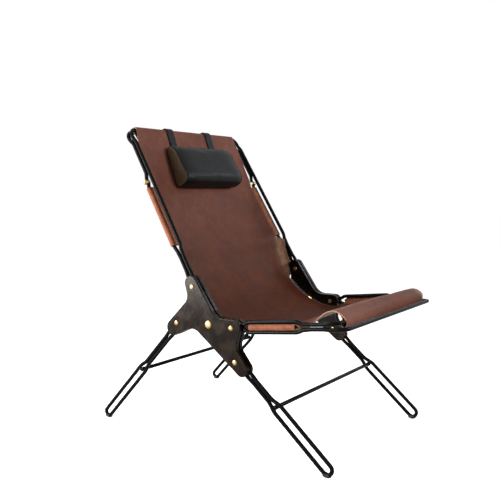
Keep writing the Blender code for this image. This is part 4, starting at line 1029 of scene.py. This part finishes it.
def pulled_out(grid, rows):
    """The far end of the roll, lower and further out, and the far edge that turns outward above the plate."""
    moved = grid.copy()
    outline = np.array(plate_outline())
    for r, (edge_y, edge_z, _, _, half) in enumerate(rows):
        x = grid[r, :, 0]
        s, off = SEAT.project(edge_y, edge_z)
        rolled = smooth(remap(s, 0.23, 0.30)) if off > -0.02 else 0.0
        rise = smooth(remap(off, 0.0, 0.03))
        lower = np.maximum(0.0, x / ROLL_HALF) ** 2
        moved[r, :, 2] -= FAR_DROP * rolled * rise * lower
        moved[r, :, 0] += FAR_REACH * rolled * lower + FAR_CREST_REACH * rolled * rise * lower**3
        s, _ = BACK.project(edge_y, edge_z)
        free = smooth(remap(s, -0.035, 0.010)) * (1 - smooth(remap(s, 0.112, 0.139)))
        if edge_y > 0 and free > 0:
            near = np.clip(1 - (half - x) / 0.030, 0.0, 1.0)
            room = outside(outline, edge_y, edge_z)
            forward = FLANGE[1] * free * smooth(remap(room, 0.0, 0.017)) * near**2
            moved[r, :, 1] += forward * BACK.ny
            moved[r, :, 2] += forward * BACK.nz
            furthest = 0.2705 + 0.0125 * smooth(remap(room, 0.0035, 0.012))
            moved[r, :, 0] = np.minimum(moved[r, :, 0] + FLANGE[0] * free * near**1.5, furthest)
    return moved


def uneven(grid, normals, rows):
    """Soft waves of a used hide, where it isn't wrapped round a rod. They fade at the edges and the top."""
    moved = grid.copy()
    for r in range(ROLLED_ROWS, len(rows) - TOP_ROWS + 1):
        calm = 1 - 0.75 * smooth(remap(BACK.project(rows[r, 0], rows[r, 1])[0], 0.33, 0.42))
        for c, (x, y, z) in enumerate(grid[r]):
            wave = LONG_WAVE * field.noise(Vector((x * 7.0, y * 7.0, z * 7.0)))
            wave += SHORT_WAVE * field.noise(Vector((x * 24.0, y * 9.0 + 3.0, z * 9.0)))
            moved[r, c] += normals[r, c] * wave * max(0.0, 1 - (abs(x) / 0.27) ** 6) * calm
    return moved


def at_x(grid_row, values, x):
    """The places or normals of one row of the hide, read off at an x."""
    return np.array([np.interp(x, grid_row[:, 0], values[:, i]) for i in range(3)])


# Each kind of tab: its line and stretch, how deep the hide's edge lies there, its rod's shift and off from
# the rail, and the radius and last angle of the wrap round that rod
TABS = {
    "back": (BACK, SLEEVE, BACK_SINK, 0.0, -(PITCH / 2 + BACK_BOW[1]), WRAP, -112),
    "seat": (SEAT, POCKET, SEAT_SINK, KEEPER_OUT, 0.0, KEEPER_WRAP, -124),
}


def behind_point(side, inset, grid_row, normal_row):
    """A place in the layer behind the hide, from the two points of the row that are nearest to an inset."""
    want = abs(grid_row[0 if side < 0 else -1][0]) - inset
    far = np.abs(np.abs(grid_row[:, 0]) - want) + (grid_row[:, 0] * side < 0)
    a, b = np.argsort(far)[:2]
    share = far[b] / max(1e-9, far[a] + far[b])
    normal = normal_row[a] * share + normal_row[b] * (1 - share)
    spot = grid_row[a] * share + grid_row[b] * (1 - share)
    return Vector(spot - normal / np.linalg.norm(normal) * LAYER)


def tab_points(kind, side, s, grid_row, normal_row):
    """Where the leather goes past the hide's edge: round its rod and back behind the hide."""
    line, _, sink, shift, off, hug, last = TABS[kind]
    rail, edge = rail_x(line, s), (-EDGE_INSET, -sink)
    gap_u, gap_v = edge[0] - shift, edge[1] - off
    leave = atan2(gap_v, gap_u) % (2 * pi) - acos(hug / hypot(gap_u, gap_v))
    round_rod = [
        (shift + hug * cos(angle), off + hug * sin(angle)) for angle in spread(leave, radians(last), 17)
    ]
    flat = [[edge[i] + (round_rod[0][i] - edge[i]) * k / 5 for i in (0, 1)] for k in range(1, 5)] + round_rod
    places = [line.point(side * (rail + u), s, v) for u, v in flat]
    behind = [behind_point(side, inset, grid_row, normal_row) for inset in spread(0.003, 0.030, 7)]
    if kind == "seat":
        mid = line.point(side * (rail - 0.007), s, -0.0062)
        return places + [mid, mid.lerp(behind[0], 0.55)] + behind
    return places + [places[-1].lerp(behind[0], k / 4) for k in range(1, 4)] + behind


def tab_rows(kind, rows):
    """The rows of the hide that have this kind of tab, as (row number, s)."""
    line, span, sink = TABS[kind][:3]
    found = []
    for r, (edge_y, edge_z, middle_y, _, _) in enumerate(rows):
        s, off = line.project(edge_y, edge_z)
        on_edge = abs(off + sink) < 0.001 and abs(middle_y - edge_y) < 0.2
        if span[0] - 0.0015 <= s <= span[1] + 0.0015 and on_edge:
            found.append((r, s))
    return found


def hide_rim(grid, rows):
    """How much of the pale cut shows at each point of the hide: most on the free edges beside the plates."""
    rim = np.zeros(grid.shape[:2])
    for r, row in enumerate(rows):
        x = grid[r, :, 0]
        free = 0.030 < BACK.project(row[0], row[1])[0] < SLEEVE[0] and row[0] > 0
        broad = np.where(x > 0, FAR_RIM, NEAR_RIM) if free else OTHER_RIM
        rim[r] = (1.0 if free else 0.55) * (1 - smooth((row[4] - np.abs(x)) / broad))
    return rim.ravel()


def make_hide():
    grid, rows = hide_grid()
    flat_normals = grid_normals(grid)
    grid = uneven(pulled_out(grid, rows), flat_normals, rows)
    normals = grid_normals(grid)
    count_r, count_c = grid.shape[:2]
    points = [tuple(p) for p in grid.reshape(-1, 3)]
    faces = bands(numbered(count_r, count_c), around=False)
    for side, _ in SIDES:
        for kind in TABS:
            ids = []
            for r, s in tab_rows(kind, rows):
                spots = tab_points(kind, side, s, grid[r], normals[r])
                edge = r * count_c + (0 if side < 0 else count_c - 1)
                ids.append((edge, *numbered(1, len(spots), len(points))[0]))
                points += [tuple(spot) for spot in spots]
            faces += [face if side > 0 else face[::-1] for face in bands(ids, around=False)]
    mesh = bpy.data.meshes.new("hide")
    mesh.from_pydata(points, [], faces)
    on_tab = np.arange(len(points)) >= count_r * count_c
    rim = np.concatenate([hide_rim(grid, rows), np.zeros(len(points) - count_r * count_c)])
    for name, values in (("rim", rim), ("tab", on_tab)):
        mesh.attributes.new(name, "FLOAT", "POINT").data.foreach_set("value", values.astype(np.float32))
    mesh.validate()
    mesh.shade_smooth()
    obj = add_object("hide", mesh, FACE, FLESH, EDGE, replaces="sling")
    thick = obj.modifiers.new("thickness", "SOLIDIFY")
    thick.thickness, thick.offset = LEATHER, 0.0
    thick.use_even_offset, thick.use_quality_normals = True, True
    thick.material_offset, thick.material_offset_rim = 1, 2
    soft = obj.modifiers.new("soft_edges", "BEVEL")
    soft.limit_method, soft.angle_limit = "ANGLE", radians(60)
    soft.width, soft.segments, soft.use_clamp_overlap = EDGE_BEVEL, 2, True
    soft.harden_normals = False
    apply(obj)
    obj.data.shade_smooth()
    make_hide_stitches(grid, normals, rows)


def make_hide_stitches(grid, normals, rows):
    """Rows of thread beside the sleeves and pockets, on the face and behind, and along the rear hem."""
    half = LEATHER / 2 + 0.0001
    deep = 2 * half + LEATHER + LAYER_GAP
    for side, tag in SIDES:
        for kind in TABS:
            for k, inset in enumerate(SEAM_INSETS):
                front, stand = [], []
                for r, _ in tab_rows(kind, rows)[1:-1]:
                    x = side * (abs(grid[r, 0, 0]) - inset)
                    normal = at_x(grid[r], normals[r], x)
                    stand.append(normal / np.linalg.norm(normal))
                    front.append(at_x(grid[r], grid[r], x) + stand[-1] * half)
                stitches(f"thread_{kind}_{tag}_face_{k}", front, stand, BROWN_THREAD)
                rear = [f - n * deep for f, n in zip(front, stand)]
                stitches(f"thread_{kind}_{tag}_rear_{k}", rear, [-n for n in stand], BROWN_THREAD)
    hem, stand = grid[-3, 1:-1], normals[-3, 1:-1]
    stitches("thread_hem_top_rear", hem + stand * half, stand, BROWN_THREAD)


# Straps and cushion

TAIL_END, TAIL_FLAT = 0.097, 0.026
STRAP_SEAM, STRAP_ROUND = 0.0032, 0.0004
CREASE_DEPTH, CREASE_WIDTH = 0.00025, 0.0006


def strap_path():
    """From below the cushion up the hide, over both top rods and down on to the hide's return."""
    path = [lean_flat(0.160 * share, STRAP_RISE) for share in spread(1.0, 0.06, 26)]
    front, rear = STRAP_RISE, ROD / 2 + 0.0008 + STRAP_THICK / 2
    over = pi / 2 + asin((front - rear) / PITCH)

    def round_rod(off, radius, first, last, count):
        angles = spread(first, last, count)
        return [BACK.flat(BACK_REACH + radius * sin(a), off + radius * cos(a)) for a in angles]

    def straight(start, end, count):
        shares = [k / count for k in range(1, count + 1)]
        return [(start[0] + (end[0] - start[0]) * k, start[1] + (end[1] - start[1]) * k) for k in shares]

    meet = lean_flat(TAIL_END - TAIL_FLAT, TAIL_RISE)
    s, off = BACK.project(*meet)
    along, ahead = s - BACK_REACH, off + PITCH / 2
    leave = atan2(along, ahead) % (2 * pi) - acos(rear / hypot(along, ahead))
    path += round_rod(TOP_OFF, front, -LEAN, over, 18) + round_rod(-PITCH / 2, rear, over, leave, 14)
    return path + straight(path[-1], meet, 8) + straight(meet, lean_flat(TAIL_END, TAIL_RISE), 6)


def strap_section():
    """A flat strap with rounded edges and a crease under each row of thread."""
    w, t = STRAP_WIDTH / 2, STRAP_THICK / 2
    top = []
    for u in spread(-1, 1, 17):
        crease = CREASE_DEPTH * exp(-(((abs(u) * w - (w - STRAP_SEAM)) / CREASE_WIDTH) ** 2))
        top.append((u * (w - STRAP_ROUND), t - crease - STRAP_ROUND * abs(u) ** 30))
    edge = [(w, t * 0.45), (w, -t * 0.45)]
    return top + edge + [(u, -v) for u, v in reversed(top)] + [(-u, -v) for u, v in edge]


def make_straps():
    path, section = strap_path(), strap_section()
    last = len(path) - 1
    stands = []
    for k in range(len(path)):
        before, after = path[max(k - 1, 0)], path[min(k + 1, last)]
        stands.append(Vector((0, before[1] - after[1], after[0] - before[0])).normalized())
    flip = 1 if stands[5].dot(LEAN_NORMAL) > 0 else -1
    for side, tag in SIDES:
        points = []
        for k, ((y, z), stand) in enumerate(zip(path, stands)):
            width = 0.82 + 0.18 * sqrt(remap(last - k, 0, 3))
            points += [world(side * STRAP_X + u * width, y, z) + stand * v for u, v in section]
        stand_in(f"head_strap_{tag}", points, capped(numbered(len(path), len(section))), STRAP_LEATHER, 40)
        for k, sign in enumerate((-1, 1)):
            x = side * STRAP_X + sign * (STRAP_WIDTH / 2 - STRAP_SEAM)
            for part, keep in (("front", slice(0, 46)), ("rear", slice(56, -4))):
                up = [stand * flip for stand in stands[keep]]
                row = [world(x, y, z) + n * STRAP_THICK / 2 for (y, z), n in zip(path[keep], up)]
                stitches(f"thread_strap_{tag}_{part}_{k}", row, up, BLACK_THREAD, STRAP_STITCH)


# The cushion's outline from the side, as shares of its height and depth
SECTION = (
    (0.035, 0.0), (0.35, 0.0), (0.7, 0.0), (0.965, 0.0), (0.995, 0.06), (1.0, 0.2), (0.985, 0.34),
    (0.945, 0.47), (0.885, 0.575), (0.8, 0.66), (0.68, 0.735), (0.54, 0.81), (0.4, 0.895), (0.3, 0.965),
    (0.22, 0.995), (0.14, 0.98), (0.075, 0.88), (0.035, 0.68), (0.01, 0.4), (0.0, 0.14), (0.01, 0.04),
)
CUSHION_RISE = STRAP_RISE + STRAP_THICK / 2 + CLEAR
CUSHION_TOP, CUSHION_HEIGHT, CUSHION_DEPTH, CUSHION_HALF = 0.055, 0.156, 0.067, 0.158
CUSHION_ASIDE = 0.006
FOAM_INSET = 0.0035
END_DRAW, PANEL_DRAW, TIP_DRAW, TIP_OUT = 0.0045, 0.0105, 0.014, 0.002
SEAM_X = CUSHION_HALF - 0.0105
CLOTH_FRAMES, CLOTH_CAP = 20, 0.0022


def section_ring(count):
    """Evenly spaced points on a smooth closed curve through the cushion's outline."""
    corners = np.array(SECTION)
    p0, p1, p2, p3 = (np.roll(corners, shift, axis=0)[:, None] for shift in (1, 0, -1, -2))
    t = np.linspace(0, 1, 12, endpoint=False)[None, :, None]
    bend = (2 * p0 - 5 * p1 + 4 * p2 - p3) * t**2 + (3 * p1 - p0 - 3 * p2 + p3) * t**3
    dense = (0.5 * (2 * p1 + (p2 - p0) * t + bend)).reshape(-1, 2)
    dense = np.vstack([dense, dense[:1]])
    steps = np.linalg.norm(np.diff(dense * (CUSHION_HEIGHT, CUSHION_DEPTH), axis=0), axis=1)
    travel = np.concatenate([[0], np.cumsum(steps)])
    want = np.linspace(0, travel[-1], count, endpoint=False)
    return np.stack([np.interp(want, travel, dense[:, i]) for i in (0, 1)], axis=1)


def cushion_point(x, up, out, draw=0.0):
    """A place of the cushion by its shares of height and depth, drawn in on all sides by so much."""
    down = CUSHION_TOP + draw + (CUSHION_HEIGHT - 2 * draw) * (1 - up)
    return lean_point(x + CUSHION_ASIDE, down, CUSHION_RISE + (CUSHION_DEPTH - 2 * draw) * out)


def make_cushion():
    """A wedge bolster: one panel wrapped round foam, closed by an end panel on each side."""
    ring = section_ring(120)
    centre = ring.mean(axis=0)
    ends = [0.962, 0.982, 0.994, 1]
    stations = [-share for share in reversed(ends)] + spread(-0.93, 0.93, 44) + ends
    half = CUSHION_HALF - FOAM_INSET
    points = []
    for share in stations:
        round_in = END_DRAW * (1 - sqrt(max(0.0, 1 - remap(abs(share), 0.955, 1.0) ** 2)))
        draw = END_DRAW * max(0.0, abs(share) - 0.5) ** 3 * 8 + round_in + FOAM_INSET
        points += [cushion_point(share * half, up, out, draw) for up, out in ring]
    rings = numbered(len(stations), len(ring))
    faces = bands(rings)
    for sign, outer in ((-1, rings[0]), (1, rings[-1])):
        panel = [outer]
        for share in (0.9, 0.75, 0.55, 0.3):
            panel.append(numbered(1, len(ring), len(points))[0])
            x = sign * (half + FOAM_INSET * (1 - share**2))
            for spot in centre + (ring - centre) * share:
                points.append(cushion_point(x, *spot, PANEL_DRAW + FOAM_INSET))
        faces += bands(panel)
        inmost, tip = panel[-1], len(points)
        points.append(cushion_point(sign * (CUSHION_HALF + TIP_OUT), *centre, TIP_DRAW))
        faces += [(inmost[i - 1], inmost[i], tip) for i in range(len(inmost))]
    mesh = mesh_of(points, faces, "cushion", 60)
    leathers = CUSHION_LEATHER, CUSHION_END_PAINTED_LIGHT
    obj = add_object("cushion_case", mesh, *leathers, body="cushion", replaces="head_cushion")
    inflate(obj)
    finish_cushion(obj, centre)


def inflate(obj):
    """Presses the case out over its foam as cloth under pressure. No point goes further than the cap."""
    remesh = obj.modifiers.new("remesh", "REMESH")
    remesh.mode, remesh.voxel_size, remesh.adaptivity = "VOXEL", 0.0045, 0.0
    apply(obj)
    start = np.array([v.co for v in obj.data.vertices])
    cloth = obj.modifiers.new("cloth", "CLOTH")
    settings = cloth.settings
    settings.use_pressure, settings.uniform_pressure_force = True, 9.0
    settings.quality, settings.bending_stiffness = 6, 4.0
    settings.tension_stiffness = settings.compression_stiffness = 40
    settings.effector_weights.gravity = 0.0
    cloth.point_cache.frame_start, cloth.point_cache.frame_end = 1, CLOTH_FRAMES
    scene = bpy.context.scene
    for number in range(1, CLOTH_FRAMES + 1):
        scene.frame_set(number)
    pressed = obj.evaluated_get(bpy.context.evaluated_depsgraph_get())
    moved = np.array([v.co for v in pressed.to_mesh().vertices]) - start
    pressed.to_mesh_clear()
    obj.modifiers.clear()
    scene.frame_set(1)
    size = np.linalg.norm(moved, axis=1, keepdims=True)
    final = start + moved * np.minimum(1.0, CLOTH_CAP / np.maximum(size, 1e-9))
    normal, origin = np.array(LEAN_NORMAL), np.array(lean_point(0, 0, CUSHION_RISE + 0.0002))
    final -= np.minimum(0.0, (final - origin) @ normal)[:, None] * normal
    obj.data.vertices.foreach_set("co", final.astype(np.float32).ravel())
    obj.data.update()


def finish_cushion(obj, centre):
    """One more subdivision, the end panels' brown leather with its painted light and painted reflection, and
    their seams with piping and thread.
    """
    sub = obj.modifiers.new("sub", "SUBSURF")
    sub.levels = sub.render_levels = 1
    apply(obj)
    for made in (CUSHION_LEATHER, CUSHION_END_PAINTED_LIGHT):
        if made.name not in [m.name for m in obj.data.materials if m]:
            obj.data.materials.append(made)
    obj.data.shade_smooth()
    # The end panels take the brown leather with its painted light and reflection
    for face in obj.data.polygons:
        face.material_index = 1 if abs(face.center.x - CUSHION_ASIDE) > SEAM_X else 0
    tree = BVHTree.FromObject(obj, bpy.context.evaluated_depsgraph_get())

    def round_at(x):
        """(place, normal) all round the case at an x."""
        middle = cushion_point(x, *centre)
        found = []
        for up, out in section_ring(160):
            away = (cushion_point(x, up, out) - middle).normalized()
            hit, normal, _, _ = tree.ray_cast(middle + away * 0.3, -away)
            if hit is not None:
                found.append((hit, normal))
        return found

    for side, tag in SIDES:
        make_piping(f"cushion_piping_{tag}", round_at(side * SEAM_X))
        front = [(p, n) for p, n in round_at(side * (SEAM_X - 0.0048)) if n.dot(LEAN_NORMAL) > -0.5]
        first = max(range(len(front)), key=lambda k: (front[k][0] - front[k - 1][0]).length)
        path, stands = zip(*front[first:], *front[:first])
        stitches(f"cushion_thread_{tag}", path, stands, BLACK_THREAD, CUSHION_STITCH, "cushion")


def make_piping(name, spots, radius=0.0012, sides=12):
    """A closed bead that lies half sunk in the leather."""
    points = []
    for k, (spot, stand) in enumerate(spots):
        along = (spots[(k + 1) % len(spots)][0] - spots[k - 1][0]).normalized()
        across = along.cross(stand).normalized()
        up = across.cross(along)
        spot = spot + up * (radius * 0.25)
        points += [spot + across * aside + up * above for aside, above in circle(sides, radius)]
    faces = bands(numbered(len(spots), sides), closed=True)
    add_object(name, mesh_of(points, faces, name, 80), CUSHION_LEATHER, body="cushion")


# CAD nodes that stay, stage, light and camera

FLOOR_GLOW, WORLD_LIGHT = 0.80, 0.24
# Each lamp: place, aim, size, power and colour
LAMPS = {
    "key": ((0.5, -1.9, 1.45), (0.0, 0.0, 0.70), (1.0, 0.8), 42, (1.0, 0.985, 0.97)),
    "left_rear": ((-2.0, 1.42, 0.80), (-0.3, 0.05, 0.74), (0.9, 1.25), 120, (1.0, 0.955, 0.90)),
    "top": ((-0.45, 1.25, 2.15), (0.0, 0.0, 0.5), (1.2, 0.5), 24, (0.93, 0.96, 1.0)),
    "right": ((1.9, -0.85, 1.60), (0.0, 0.15, 0.75), (0.6, 0.35), 8, (0.80, 0.88, 1.0)),
}
CAMERA_PLACE, CAMERA_TILT, CAMERA_TURN, CAMERA_LENS = (-1.832, -1.2503, 0.763), 84.93, -54.41, 49.05


def dress_kept_nodes():
    for name, obj in frame["nodes"].items():
        if obj.hide_render:
            continue
        made = STEEL
        if name.startswith("foot_glide"):
            made = NYLON
        elif name.startswith("cushion_loop"):
            made = STRAP_LEATHER
        for slot in obj.material_slots:
            slot.material = made


def make_floor():
    """A pale floor that takes the shadow. Metal sees it as plain white, like the background round it."""
    bm = bmesh.new()
    bmesh.ops.create_grid(bm, x_segments=1, y_segments=1, size=14)
    mesh = baked(bm, "floor")
    in_scene("floor", mesh)
    s = Shader("studio_floor")
    s.finish((0.86, 0.86, 0.86), 0.9, Specular_IOR_Level=0.0)
    base, both = s.base.outputs[0], s.add("ShaderNodeAddShader")
    s.link(base, both.inputs[0])
    s.link(s.glow("ShaderNodeEmission", FLOOR_GLOW), both.inputs[1])
    chosen = s.choose(s.rays("Is Camera Ray"), base, both.outputs[0])
    mirrored = s.glow("ShaderNodeEmission", 1.0)
    chosen = s.choose(s.rays("Is Glossy Ray", "Is Transmission Ray"), chosen, mirrored)
    s.link(chosen, s.tree.nodes["Material Output"].inputs["Surface"])
    mesh.materials.append(s.owner)


def make_world():
    """White to the camera and in reflections, and a weak light from all sides."""
    bpy.context.scene.world = bpy.data.worlds.new("studio")
    w = Nodes(bpy.context.scene.world)
    light = w.glow("ShaderNodeBackground", WORLD_LIGHT, (0.98, 0.99, 1.0))
    white = w.glow("ShaderNodeBackground", 1.0)
    chosen = w.choose(w.rays("Is Camera Ray", "Is Glossy Ray", "Is Transmission Ray"), light, white)
    w.link(chosen, w.tree.nodes["World Output"].inputs["Surface"])


def make_lights():
    for name, (place, target, size, power, colour) in LAMPS.items():
        data = bpy.data.lights.new(name, "AREA")
        data.shape, data.size, data.size_y = "RECTANGLE", *size
        data.energy, data.color = power, colour
        aim = (Vector(target) - Vector(place)).to_track_quat("-Z", "Y").to_euler()
        in_scene(name, data, place, aim)


def make_camera():
    data = bpy.data.cameras.new("camera")
    data.lens, data.sensor_width = CAMERA_LENS, 36.0
    turn = (radians(CAMERA_TILT), 0.0, radians(CAMERA_TURN))
    bpy.context.scene.camera = in_scene("camera", data, CAMERA_PLACE, turn)


make_rods()
make_plates()
make_brass()
make_hide()
make_straps()
make_cushion()
dress_kept_nodes()
make_floor()
make_world()
make_lights()
make_camera()
bpy.context.scene.view_settings.view_transform = "Standard"
